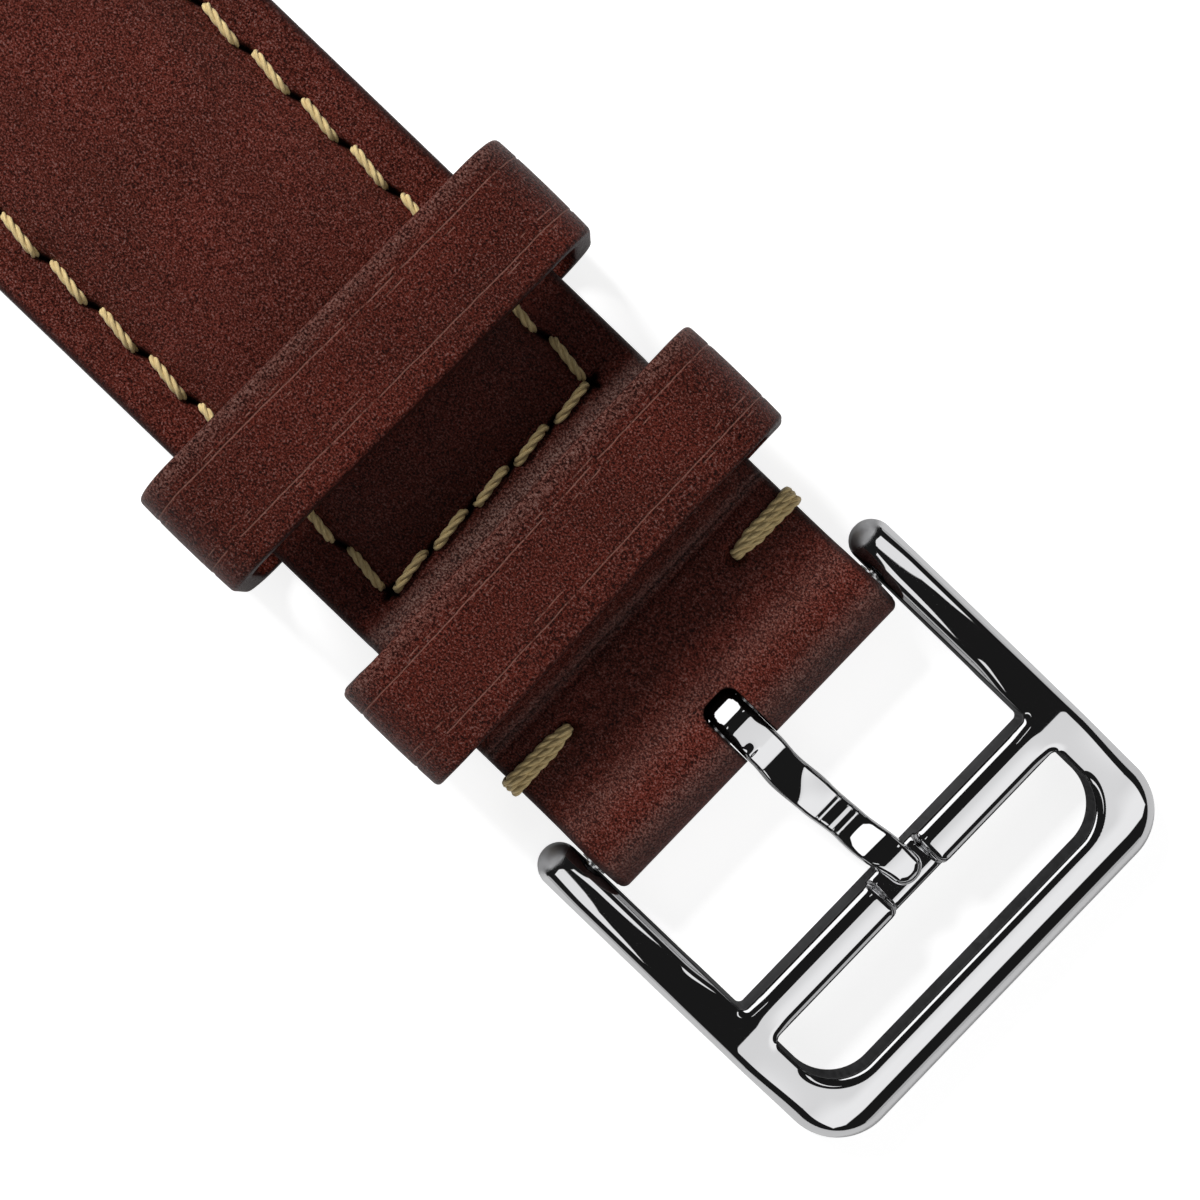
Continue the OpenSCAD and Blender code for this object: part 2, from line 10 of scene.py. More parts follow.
import bmesh
import bpy
import numpy as np
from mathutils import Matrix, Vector


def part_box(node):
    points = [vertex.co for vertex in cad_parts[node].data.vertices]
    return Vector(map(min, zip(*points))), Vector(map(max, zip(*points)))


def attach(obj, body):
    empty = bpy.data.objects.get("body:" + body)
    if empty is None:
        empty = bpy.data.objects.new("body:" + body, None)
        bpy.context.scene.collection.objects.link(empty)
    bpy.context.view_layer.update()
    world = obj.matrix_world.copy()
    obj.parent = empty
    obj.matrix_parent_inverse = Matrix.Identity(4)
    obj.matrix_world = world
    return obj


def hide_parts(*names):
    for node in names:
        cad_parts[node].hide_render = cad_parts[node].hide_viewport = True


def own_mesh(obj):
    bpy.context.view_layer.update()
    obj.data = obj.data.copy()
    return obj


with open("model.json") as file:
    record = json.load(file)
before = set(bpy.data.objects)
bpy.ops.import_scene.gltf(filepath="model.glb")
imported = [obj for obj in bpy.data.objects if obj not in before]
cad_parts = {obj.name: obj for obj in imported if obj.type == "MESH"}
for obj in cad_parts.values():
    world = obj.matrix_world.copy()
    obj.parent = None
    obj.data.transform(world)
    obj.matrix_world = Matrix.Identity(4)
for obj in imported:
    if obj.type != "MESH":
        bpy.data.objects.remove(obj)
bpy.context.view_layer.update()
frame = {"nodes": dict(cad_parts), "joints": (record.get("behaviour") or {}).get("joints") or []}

MM = 0.001


# Sizes that come from the frame

def box_mm(node):
    low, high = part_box(node)
    return np.array(low) / MM, np.array(high) / MM


def joint_place(name):
    joint = next(j for j in frame["joints"] if j["name"] == name)
    return np.array(joint["pos_m"]) / MM


lug_axis = joint_place("lug_bar_spin")
buckle_axis = joint_place("buckle_bar_spin")
leather_high = box_mm("upper_leather")[1]
lining_low, lining_high = box_mm("lining_leather")
half_w = leather_high[1]
loop_r = leather_high[0] - buckle_axis[0]
tube_r = box_mm("buckle_bar_tube")[1][2] - buckle_axis[2]
bar_play = 0.07

# Sizes of the strap
lining_t = 1.0
upper_t = 1.2
lift = lining_high[2] - lining_t
thick_end = 5.0
rise_end = 22.0
margin_z = 3.67
crown_half = 7.9
pad_half = 8.1
pad_start = 3.3
pad_end = 57.5
glue = 0.02

# Humps on the strap that rubbing made glossier, with painted sheen on them: (place, half length, share)
rub_and_sheen_humps = ((59.35, 0.95, 0.95), (67.35, 0.55, 0.45), (73.0, 1.3, 0.28), (75.9, 1.2, 0.5))

# The slot for the tongue, in three levels from the buckle's axis: back, left, right, corner, low, high
slot_l = 5.5
slot_levels = ((-1.52, -1.0, 1.17, 0.66, 0, 5),
               (-1.42, -0.99, 1.11, 0.6, -1.05, 0),
               (-0.98, -0.99, 1.11, 0.5, -4, -1.05))

# Sizes of the seams
seam_x = 58.1
seam_y = 7.3
stitch_l = 3.45
side_stitches = 15
cross_stitches = 5
cross_l = 2 * seam_y / cross_stitches
slit_half = 0.55
slit_side = 0.17
slit_slant = math.radians(17)
cross_half = 0.36
cross_side = 0.8 * slit_side
ply_r = 0.13
lay_r = 0.125
lay_pitch = 2.2
lock_z = lift + lining_t + 0.3
tack_x = 69.3
tack_inner = 6.1

# Sizes of the keepers
keeper_l = 6.6
keeper_t = 1.2
run_t = 0.95
keeper_corner = 2.4
lean_reach = 9.4

# Sizes of the buckle, measured from its own axis on the spring bar
arm_in = 10.25
arm_out = 12.55
arm_tail = 2.3
frame_reach = 19.7
frame_top = 1.45
crossbar_in = 10.5
crossbar_out = 12.7
outer_in = 17.0
frame_round = 0.85
frame_edge = 0.3
notch_y = 0.45
notch_half = 1.55
notch_floor = 0.68
eye_r = 1.4
droop = math.radians(3.4)

# The photograph's view, from straight above
camera_place = (65.98, -0.3, 155.0)
camera_turn = math.radians(43.9)
camera_lens = 90.4


# Curves and spacing

def smooth(x, low, high):
    t = np.clip((np.asarray(x, float) - low) / (high - low), 0, 1)
    return t * t * (3 - 2 * t)


def hump(x, centre, half):
    t = np.clip(np.abs(np.asarray(x, float) - centre) / half, 0, 1)
    return 0.5 + 0.5 * np.cos(np.pi * t)


def through(x, places):
    """A smooth curve that passes level through each (x, value) place."""
    x = np.asarray(x, float)
    value = np.full(x.shape, float(places[0][1]))
    for (x0, v0), (x1, v1) in zip(places, places[1:]):
        value = value + (v1 - v0) * smooth(x, x0, x1)
    return value


def spaced(stops):
    """Places from the first stop to the last, each stretch with its own step: (place, step)."""
    places = []
    for (start, step), (end, _) in zip(stops, stops[1:]):
        count = max(1, round((end - start) / step))
        places.extend(np.linspace(start, end, count, endpoint=False))
    places.append(stops[-1][0])
    return np.array(places)


def wander(x, seed, reach):
    """A slow, repeatable waver along x."""
    return reach * (np.sin(0.9 * x + seed) + 0.6 * np.sin(2.3 * x + 2.1 * seed)
                    + 0.4 * np.sin(5.1 * x + seed))


# Meshes

def place_in_scene(made):
    bpy.context.scene.collection.objects.link(made)
    return made


def make_object(name, points, faces):
    mesh = bpy.data.meshes.new(name)
    mesh.from_pydata((np.asarray(points) * MM).tolist(), [], [tuple(map(int, f)) for f in faces])
    mesh.update()
    return place_in_scene(bpy.data.objects.new(name, mesh))


def tube_faces(rings, count, start=0, closed=False):
    """Faces of a tube of rings, with a cap on each end, or joined end to start where it is closed."""
    total = rings * count
    faces = []
    for i in range(rings if closed else rings - 1):
        for j in range(count):
            a, b = i * count + j, i * count + (j + 1) % count
            faces.append(tuple(start + k % total for k in (a, b, b + count, a + count)))
    if not closed:
        faces.append(tuple(range(start, start + count))[::-1])
        faces.append(tuple(range(start + total - count, start + total)))
    return faces


def closed_sheet(name, top, bottom, side_rows=4, bulge=0.05):
    """A solid between two grids of points, with strips along its sides and a face on each end."""
    share = np.arange(1, side_rows)[None, :, None] / side_rows
    sides = []
    for column, outward in ((-1, 1), (0, -1)):
        side = (1 - share) * top[:, column, None] + share * bottom[:, column, None]
        side[:, :, 1] += outward * bulge * np.sin(math.pi * share[:, :, 0])
        sides.append(side)
    rings = np.concatenate([top, sides[0], bottom[:, ::-1], sides[1][:, ::-1]], axis=1)
    piece = make_object(name, rings.reshape(-1, 3), tube_faces(*rings.shape[:2]))
    weld(piece)
    return piece


def weld(piece, distance=0.002):
    """Joins points that lie together and drops faces that this leaves without area."""
    work = bmesh.new()
    work.from_mesh(piece.data)
    bmesh.ops.remove_doubles(work, verts=work.verts, dist=distance * MM)
    bmesh.ops.dissolve_degenerate(work, edges=work.edges, dist=0.0001 * MM)
    bmesh.ops.recalc_face_normals(work, faces=work.faces)
    work.to_mesh(piece.data)
    work.free()


def cut(piece, cutters, solver="MANIFOLD"):
    """Cuts each cutter out of the piece, and deletes the cutters."""
    for cutter in cutters:
        step = piece.modifiers.new("cut", "BOOLEAN")
        step.object = cutter
        step.operation = "DIFFERENCE"
        step.solver = solver
    ready = piece.evaluated_get(bpy.context.evaluated_depsgraph_get())
    mesh = bpy.data.meshes.new_from_object(ready)
    piece.modifiers.clear()
    old = piece.data
    piece.data = mesh
    bpy.data.meshes.remove(old)
    for cutter in cutters:
        bpy.data.objects.remove(cutter)


def prism(name, outline, axis, low, high):
    """A closed solid: an outline drawn square to one axis, from low to high along it."""
    ends = [np.insert(np.asarray(outline, float), axis, level, axis=1) for level in (low, high)]
    made = make_object(name, np.concatenate(ends), tube_faces(2, len(outline)))
    weld(made, 0.0001)
    return made


def circle(centre, radius, count=48):
    turn = np.linspace(0, 2 * math.pi, count, endpoint=False)
    return np.stack([centre[0] + radius * np.cos(turn), centre[1] + radius * np.sin(turn)], 1)


def point_field(piece, name, values):
    """Stores one number, or one vector, at each point of a piece."""
    values = np.asarray(values, np.float32)
    kind, key = ("FLOAT", "value") if values.ndim == 1 else ("FLOAT_VECTOR", "vector")
    field = piece.data.attributes.new(name, kind, "POINT")
    field.data.foreach_set(key, values.ravel())


def point_values(piece, key):
    flat = np.zeros(len(piece.data.vertices) * 3)
    piece.data.vertices.foreach_get(key, flat)
    return flat.reshape(-1, 3)


def places_of(piece):
    return point_values(piece, "co") / MM


def dress(piece, body, material, node, sharp=40):
    """Gives a piece its body, finish and shading, and hides the solid that it stands for."""
    piece.data.materials.clear()
    piece.data.materials.append(material)
    piece.data.shade_smooth()
    piece.data.set_sharp_from_angle(angle=math.radians(sharp))
    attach(piece, body)
    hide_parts(node)
    return piece


# The strap's form

def under_z(x):
    return lift * np.clip((x - thick_end) / (rise_end - thick_end), 0, 1)


def middle_z(x):
    return through(x, [(0, lug_axis[2] + loop_r), (3.3, 5.07), (54.6, 5.07), (57.9, 4.02), (58.55, 3.94),
                       (59.95, 4.36), (66.2, 4.32), (67.5, 3.72), (68.5, 3.86), (71.6, 3.87),
                       (74.9, buckle_axis[2] + loop_r)])


def edge_z(x):
    return through(x, [(0.3, lug_axis[2] + loop_r), (8.5, margin_z), (70.6, margin_z),
                       (74.9, buckle_axis[2] + loop_r)])


def strap_top(x, y):
    """Height of the outer leather before its seams and creases are pressed in."""
    crowned = np.cos(0.5 * np.pi * np.minimum(1, (np.abs(y) / crown_half) ** 2))
    level = 1 - smooth(np.abs(y), 8.0, 9.9)
    share = crowned + (level - crowned) * smooth(x, 58.5, 60.3)
    return edge_z(x) + (middle_z(x) - edge_z(x)) * share


def slits(along, across, pitch, count):
    """Depth pressed in by one row of slanted slits, at along = 0, -pitch, -2 pitch and so on."""
    index = np.clip(np.round(-along / pitch), 0, count)
    u = along + index * pitch
    c, s = math.cos(slit_slant), math.sin(slit_slant)
    length, width = c * u + s * across, c * across - s * u
    slit = 0.62 * np.exp(-(width / 0.13) ** 2) * np.exp(-(length / 0.52) ** 4)
    lips = 0.09 * np.exp(-((np.abs(width) - 0.38) / 0.17) ** 2) * np.exp(-(length / 0.62) ** 2)
    inside = smooth(along, -count * pitch - 0.8, -count * pitch - 0.2) * (1 - smooth(along, 0.2, 0.8))
    channel = 0.17 * np.exp(-(across / 0.5) ** 2) * inside
    pinch = 0.15 * np.exp(-(across / 0.9) ** 2) * np.exp(-(u / 0.8) ** 2)
    return slit - lips + channel + pinch


def seam_relief(x, y):
    depth = 0
    for side in (-1, 1):
        depth = depth + slits(x - seam_x, y - side * seam_y, stitch_l, side_stitches)
    row = slits(y - seam_y, seam_x - x, cross_l, cross_stitches)
    return np.maximum(depth, row * (np.abs(y) < seam_y + 0.9))


def crease_relief(x, y):
    """Lines pressed along both edges, the creases past the fixed keeper and the dents of the tacks."""
    upper = hump(y, 9.5 + wander(0.1 * x, 1.0, 0.03), 0.17) * smooth(x, 1, 4) * (1 - smooth(x, 57, 60))
    lower = hump(y, -8.45 + wander(0.1 * x, 2.0, 0.04), 0.2) * smooth(x, 1, 4) * (1 - smooth(x, 58, 61))
    deep = 0.07 * upper + 0.09 * lower
    for place, size, waver in ((66.95, 0.06, 0.3), (67.35, 0.09, 1.3), (67.8, 0.05, 2.2)):
        deep = deep + size * hump(x, place + wander(0.35 * y, waver, 0.04), 0.16)
    pinch = np.exp(-((x - 73.4) / 1.0) ** 2 - (y / 1.7) ** 2)
    on_fold = hump(x, 72.6, 2.9)
    waves = np.sin(2.1 * y + 0.8 * x + 1.3 * np.sin(0.7 * y)) * np.sin(1.1 * x - 0.6 * y + 1.0)
    waves = waves + 0.5 * np.sin(4.3 * y - 1.7 * x) * np.sin(1.9 * x + 0.9 * y)
    deep = deep + 0.42 * pinch + 0.05 * on_fold * waves
    for side in (-1, 1):
        dent = np.exp(-((x - tack_x) / 0.42) ** 2 - ((side * y - tack_inner + 0.05) / 0.34) ** 2)
        lip = np.exp(-((np.hypot(x - tack_x, side * y - tack_inner + 0.1) - 0.75) / 0.22) ** 2)
        pull = hump(x, tack_x, 1.1) * smooth(side * y, tack_inner - 0.3, 8.0)
        deep = deep + 0.75 * dent - 0.08 * lip * (side * y < tack_inner + 0.3) + 0.13 * pull
    return deep


def edge_inset(y, radius):
    t = np.clip((np.abs(y) - (half_w - radius)) / radius, 0, 1)
    return radius * (1 - np.sqrt(np.clip(1 - t * t, 0, 1)))


def strap_columns():
    """Places across the strap, close together at the edges, the creases and the seams."""
    left = spaced([(-half_w, 0.035), (-9.85, 0.07), (-9.4, 0.2), (-8.75, 0.06), (-8.15, 0.1),
                   (-6.5, 0.2), (0, 0)])
    right = spaced([(0, 0.2), (6.5, 0.1), (8.2, 0.2), (9.2, 0.06), (9.85, 0.035), (half_w, 0)])
    return np.concatenate([left, right[1:]])


def leather_cutters():
    """What is cut out of the outer leather: bores, the keeper's tunnel, the tongue's slot, the filler."""
    reach = half_w + 1
    for axis in (lug_axis, buckle_axis):
        yield prism("cut_bore", circle(axis[[0, 2]], tube_r + bar_play), 1, -reach, reach)
    run = box_mm("fixed_keeper")[0]
    floor_z, roof_z = run[2] - glue, run[2] + run_t + glue
    tunnel = [(-reach, floor_z), (reach, floor_z), (reach, roof_z), (-reach, roof_z)]
    yield prism("cut_tunnel", tunnel, 0, run[0] - glue, run[0] + keeper_l + glue)
    for back, left, right, corner, low_z, high_z in slot_levels:
        front = buckle_axis[0] + back + slot_l
        back += buckle_axis[0]
        outline = rounded_loop([(back, right, corner), (back, left, corner), (front, left, 0.1),
                                (front, right, 0.1)], 0.12)
        yield prism("cut_slot", outline, 2, low_z + buckle_axis[2], high_z + buckle_axis[2])
    yield padding_form("cut_padding", 0)


def outer_leather():
    """The leather seen on top, which runs round both bars and back underneath."""
    y = strap_columns()
    x = spaced([(0, 0.16), (57.0, 0.08), (59.2, 0.16), (66.5, 0.08), (68.2, 0.12), (70.4, 0.16),
                (buckle_axis[0], 0)])
    top_inset, low_inset = edge_inset(y, 0.42), edge_inset(y, 0.3)
    xs, ys = np.meshgrid(x, y, indexing="ij")
    high = strap_top(xs, ys) - seam_relief(xs, ys) - crease_relief(xs, ys) - top_inset
    layer = np.where(x < lining_high[0] + glue, under_z(x) + lining_t + glue, lift)
    layer = layer + (buckle_axis[2] - loop_r - lift) * smooth(x, 72.2, buckle_axis[0])
    softness = through(x, [(0, 1), (3, 0.2), (59, 0.2), (60, 0.8), (74, 1)])
    low = layer[:, None] + softness[:, None] * low_inset
    turn = np.radians(np.linspace(90, 0, 17))[1:, None]
    over = loop_r - top_inset
    under = loop_r - low_inset * np.sin(turn) - top_inset * (1 - np.sin(turn))
    sheets = []
    for height, reach, up in ((high, over, 1), (low, under, -1)):
        out, rise = reach * np.cos(turn), up * reach * np.sin(turn)
        wide = np.broadcast_to(y, out.shape)
        sheets.append(np.concatenate([
            np.dstack([lug_axis[0] - out, wide, lug_axis[2] + rise])[::-1],
            np.dstack([xs, ys, height]),
            np.dstack([buckle_axis[0] + out, wide, buckle_axis[2] + rise])]))
    piece = closed_sheet("outer_leather", *sheets)
    cut(piece, list(leather_cutters()))
    x, y, z = places_of(piece).T
    point_field(piece, "burnish", smooth(np.abs(y), half_w - 0.55, half_w - 0.12))
    # The slit mask marks the seam's slits and the tongue slot's walls, for painted shade.
    pressed = np.clip(seam_relief(x, y) / 0.45 - 0.35, 0, 1) * (z > 2.5) * (x > 2)
    back, left, right, corner = slot_levels[0][:4]
    to_slot = round_box(x - buckle_axis[0], y, (back, left), (6, right), corner, 0.1)
    point_field(piece, "slit", np.maximum(pressed, to_slot < 0.03))
    # Rub mask: the humps are glossier from rubbing, and the material paints them paler as painted sheen.
    rub_and_sheen = np.maximum.reduce([share * hump(x, middle, half) for middle, half, share in rub_and_sheen_humps])
    point_field(piece, "rub_and_sheen", rub_and_sheen * (z > buckle_axis[2]))
    return piece


def padding_form(name, gap):
    """The filler's form: it follows the outer leather from below."""
    x = spaced([(pad_start + gap, 0.4), (pad_end - gap, 0)])
    y = spaced([(-pad_half + gap, 0.3), (pad_half - gap, 0)])
    xs, ys = np.meshgrid(x, y, indexing="ij")
    flap = 1 - smooth(xs, 9.0, 10.5)
    floor_z = under_z(xs) + lining_t + flap * upper_t + (glue if gap else -0.5 * (1 - flap))
    roof_z = strap_top(xs, ys) - upper_t - gap
    roof_z = floor_z + np.maximum(roof_z - floor_z, 0.12)
    return closed_sheet(name, np.dstack([xs, ys, roof_z]), np.dstack([xs, ys, floor_z]), 1)


def lining():
    """The layer against the wrist, with the seam pressed into its outer side."""
    x = spaced([(lining_low[0], 0.2), (lining_high[0], 0)])
    y = spaced([(-half_w, 0.06), (-9.6, 0.3), (-8.0, 0.1), (-6.6, 0.3), (6.6, 0.1), (8.0, 0.3), (9.6, 0.06),
                (half_w, 0)])
    xs, ys = np.meshgrid(x, y, indexing="ij")
    top = under_z(xs) + lining_t
    relief = np.minimum(0.8 * seam_relief(xs, ys), 0.6)
    end = hump(xs, lining_high[0], 0.5) * 0.25 + hump(xs, lining_low[0], 0.7) * 0.35
    low = under_z(xs) + relief + edge_inset(ys, 0.35) + end
    piece = closed_sheet("lining_layer", np.dstack([xs, ys, top]), np.dstack([xs, ys, low]))
    x, y, _ = places_of(piece).T
    to_end = np.minimum(x - lining_low[0], lining_high[0] - x)
    on_side = smooth(np.abs(y), half_w - 0.4, half_w - 0.08)
    point_field(piece, "burnish", np.maximum(on_side, 1 - smooth(to_end, 0.05, 0.35)))
    return piece


# Keepers

def rounded_loop(corners, step):
    """A closed outline with points about a step apart. Each corner is (x, y, radius)."""
    arcs = []
    places = [np.array(corner[:2], float) for corner in corners]
    for i, (_, _, radius) in enumerate(corners):
        here, before, after = places[i], places[i - 1], places[(i + 1) % len(corners)]
        come = (here - before) / np.linalg.norm(here - before)
        go = (after - here) / np.linalg.norm(after - here)
        turn = math.atan2(come[0] * go[1] - come[1] * go[0], float(come @ go))
        side = math.copysign(1, turn)
        start = here - come * radius * math.tan(abs(turn) / 2)
        centre = start + side * radius * np.array([-come[1], come[0]])
        parts = max(2, round(abs(turn) * (radius + 1.0) / step))
        angle = math.atan2(-side * come[0], side * come[1]) + turn * np.arange(parts + 1) / parts
        arcs.append(centre + radius * np.column_stack([np.cos(angle), np.sin(angle)]))
    points = []
    for arc, following in zip(arcs, arcs[1:] + arcs[:1]):
        straight = following[0] - arc[-1]
        fill = max(1, round(np.linalg.norm(straight) / step))
        points += [arc, arc[-1] + straight * np.arange(1, fill)[:, None] / fill]
    points = np.concatenate(points)
    return points[np.linalg.norm(points - np.roll(points, 1, axis=0), axis=1) > 1e-5]


def band_profile():
    """Section of a keeper's band: (place across the band, share of the thickness), outer side first."""
    half = keeper_l / 2
    rim = 0.26
    outer = [(u, 1.0 + 0.06 * (1 - (u / half) ** 2)) for u in np.linspace(-half + rim, half - rim, 47)]
    corner = [(half - rim + rim * math.sin(t), 1 - rim / keeper_t * (1 - math.cos(t)))
              for t in np.radians(np.linspace(0, 90, 7))[1:]]
    wall = [(half, share) for share in (0.55, 0.4, 0.25)]
    foot = [(half - 0.15 + 0.15 * math.cos(t), 0.13 - 0.13 * math.sin(t))
            for t in np.radians([0, 30, 60, 90])]
    inner = [(u, 0.0) for u in np.linspace(half - 0.5, -half + 0.5, 9)]
    side = corner + wall + foot
    return outer + side + inner + [(-u, share) for u, share in side[::-1]]


def lengths_along(path):
    """The length of a path up to each of its points, as a column."""
    return np.concatenate([[0], np.cumsum(np.linalg.norm(np.diff(path, axis=0), axis=1))])[:, None]


def keeper(name, node, lean, lean_low, seed, creased=False):
    """A leather loop with round corners. Its top and its low run each lean a little along the strap."""
    low, high = box_mm(node)
    half, floor_z, top_z = high[1], low[2], high[2]
    r = keeper_corner
    corners = [(half, top_z), (-half, top_z), (-half, floor_z), (half, floor_z)]
    outline = rounded_loop([(y, z, r) for y, z in corners], 0.16)
    core = np.clip(outline, [-half + r, floor_z + r], [half - r, top_z - r])
    way = outline - core
    thick = keeper_t + (run_t - keeper_t) * np.clip(-way[:, 1] / r, 0, 1)
    inner = core + way * (1 - thick / r)[:, None]
    along = lengths_along(outline)
    u, share = np.array(band_profile()).T
    x = (low[0] + high[0]) / 2 + u + 0.3 * wander(0.3 * along, seed + 1, 0.04)
    section = inner[:, None] + share[:, None] * (outline - inner)[:, None]
    pressed = 0
    for line in (-1.85, 1.85):
        pressed = pressed + hump(u, line + 0.4 * wander(0.4 * along, seed, 0.03), 0.13) * (share > 0.9)
    if creased:
        y, z = np.moveaxis(section, 2, 0)
        bend = y - 2.4 + 0.05 * (u + 1.0) ** 2
        fold = hump(bend, 0, 0.32) + 0.5 * hump(bend, 0.75, 0.25) + 0.4 * hump(y + 5.6 + 0.2 * u, 0, 0.3)
        pressed = pressed + 2.4 * fold * (z > top_z - 1.4) * (share > 0.6)
    outward = (outline - inner) / thick[:, None]
    section = section - 0.045 * pressed[:, :, None] * outward[:, None]
    height = smooth(section[:, :, 1], 3.6, 6.5)
    aside = lean_reach * np.tanh(section[:, :, 0] / lean_reach)
    x = x + aside * (lean_low + (lean - lean_low) * height)
    piece = make_object(name, np.dstack([x, section]).reshape(-1, 3), tube_faces(*x.shape, closed=True))
    point_field(piece, "band", np.dstack(np.broadcast_arrays(u, along, share)).reshape(-1, 3))
    weld(piece, 0.0005)
    return piece


# Threads

def twisted(path, side, ply, lay, pitch, start, sides=8, plies=3):
    """Points, faces and strand places of a twisted thread along a path in a plane square to side."""
    path = np.asarray(path, float)
    along = np.gradient(path, axis=0)
    along /= np.linalg.norm(along, axis=1)[:, None]
    side = np.broadcast_to(np.asarray(side, float), path.shape)
    up = np.cross(along, side)
    length = lengths_along(path)
    around = np.linspace(0, 2 * math.pi, sides, endpoint=False)
    ring = np.cos(around)[:, None] * up[:, None] + np.sin(around)[:, None] * side[:, None]
    points, faces, strands = [], [], []
    for k in range(plies):
        phase = start + 2 * math.pi * (k / plies - length / pitch)
        centre = path + lay * (np.cos(phase) * up + np.sin(phase) * side)
        points.append(centre[:, None] + ply * ring)
        faces += tube_faces(len(path), sides, k * len(path) * sides)
        turned = (around - phase) / (2 * math.pi)
        strands.append(np.dstack(np.broadcast_arrays(length, turned, float(k))))
    return np.concatenate(points).reshape(-1, 3), faces, np.concatenate(strands).reshape(-1, 3)


def join_threads(name, threads):
    points, faces, strands = [], [], []
    base = 0
    for some_points, some_faces, some_strands in threads:
        points.append(some_points)
        faces += [tuple(base + i for i in face) for face in some_faces]
        strands.append(some_strands)
        base += len(some_points)
    piece = make_object(name, np.concatenate(points), faces)
    point_field(piece, "strand", np.concatenate(strands))
    return piece


def stitch_path(start, end, crest_z, low_z, steps):
    """Out of one hole, over the leather and down into the next, as an arch with long level crown."""
    start, end = np.asarray(start, float), np.asarray(end, float)
    turn = np.linspace(0, math.pi, steps)
    onward = -np.cos(turn)
    share = 0.5 + 0.5 * np.sign(onward) * np.abs(onward) ** 0.62
    flat = start + (end - start) * share[:, None]
    height = low_z + (crest_z - low_z) * np.sin(turn) ** 0.5
    return np.column_stack([flat, height])


def seam_stitches():
    """Both ends of each stitch in plan, each beside its slanted slit."""
    ends = []
    for side in (-1, 1):
        for k in range(side_stitches):
            right = seam_x - k * stitch_l
            ends.append(((right - stitch_l + slit_half, side * seam_y + slit_side),
                         (right - slit_half, side * seam_y - slit_side)))
    for j in range(cross_stitches):
        top = seam_y - j * cross_l
        ends.append(((seam_x - cross_side, top - cross_half),
                     (seam_x + cross_side, top - cross_l + cross_half)))
    return np.array(ends)


def seam_thread(name, upper):
    """One side of the seam. The upper stitches reach down to where the two threads lock."""
    threads = []
    for index, (start, end) in enumerate(seam_stitches()):
        middle = (start + end) / 2
        if upper:
            surface = float(strap_top(*middle))
            path = stitch_path(start, end, surface + 0.04, surface - 0.75, 44)
            path = np.vstack([[*path[0, :2], lock_z], path, [*path[-1, :2], lock_z]])
        else:
            surface = float(under_z(middle[0]))
            path = stitch_path(start, end, surface + 0.33, surface + 0.95, 24)
            slope = (under_z(end[0]) - under_z(start[0])) / max(abs(end[0] - start[0]), 0.1)
            path[:, 2] += slope * (path[:, 0] - middle[0])
        side = np.cross([0, 0, 1], [*(end - start), 0])
        side /= np.linalg.norm(side)
        threads.append(twisted(path, side, ply_r, lay_r, lay_pitch, 0.9 * index, 8 if upper else 6))
    return join_threads(name, threads)


def tack(name, node):
    """Three strands drawn over the strap's edge and through one hole."""
    side = 1 if box_mm(node)[1][1] > half_w else -1
    top_z, low_z, outer = 3.80, lift - 0.12, half_w + 0.2
    loop = rounded_loop([(tack_inner, low_z, 0.3), (outer, low_z, 0.45), (outer, top_z, 0.5),
                         (tack_inner, top_z, 0.3)], 0.12)
    first = int(np.argmin(loop[:, 0] + 10 * np.abs(loop[:, 1] - 2.4)))
    loop = np.roll(loop, -first, axis=0)
    y, z = np.vstack([loop, loop[:1]]).T
    spread = 0.12 + 0.19 * smooth(y, tack_inner, tack_inner + 1.4)
    threads = []
    for index in (-1, 0, 1):
        x = tack_x + index * spread + wander(0.5 * y, index, 0.02)
        raised = 0.06 * (index == 0) * (z > 3)
        path = np.column_stack([x, side * y, z + raised])
        threads.append(twisted(path, (1, 0, 0), 0.135, 0.11, 2.0, index + 0.4))
    return join_threads(name, threads)


def lap_stitches():
    """The two hand stitches that close the loose keeper's lapped ends underneath."""
    low, high = box_mm("floating_keeper_thread")
    threads = []
    for x in (low[0] + 0.22, high[0] - 0.22):
        for shift in (-0.09, 0.09):
            path = stitch_path((x + shift, low[1] + 0.15), (x + shift, high[1] - 0.15), 0.16, 0.7, 24)
            threads.append(twisted(path, (-1, 0, 0), 0.07, 0.06, 1.0, 10 * shift, 6))
    return join_threads("lap_stitches", threads)


# Metal

def round_meet(a, b, radius):
    """Distance to the shape inside both a and b, with the edge between them rounded."""
    outside = np.hypot(np.maximum(a + radius, 0), np.maximum(b + radius, 0))
    return np.minimum(np.maximum(a, b), -radius) + outside


def blend_union(a, b, width):
    share = np.clip(0.5 + 0.5 * (b - a) / width, 0, 1)
    return b + (a - b) * share - width * share * (1 - share)


def round_box(x, y, low, high, low_round, high_round):
    """Distance in plan to a box whose corners have one radius at low x and another at high x."""
    spare = high[0] - low[0] - low_round - high_round
    ahead = x > low[0] + low_round + 0.5 * spare
    radius = np.where(ahead, high_round, low_round)
    out_x = np.where(ahead, x - high[0], low[0] - x) + radius
    out_y = np.abs(y - (low[1] + high[1]) / 2) - (high[1] - low[1]) / 2 + radius
    outside = np.hypot(np.maximum(out_x, 0), np.maximum(out_y, 0))
    return outside + np.minimum(np.maximum(out_x, out_y), 0) - radius


def cell_corner(field, corner):
    """The field's value at one corner of every cell."""
    return field[tuple(slice(start, start + size - 1) for start, size in zip(corner, field.shape))]


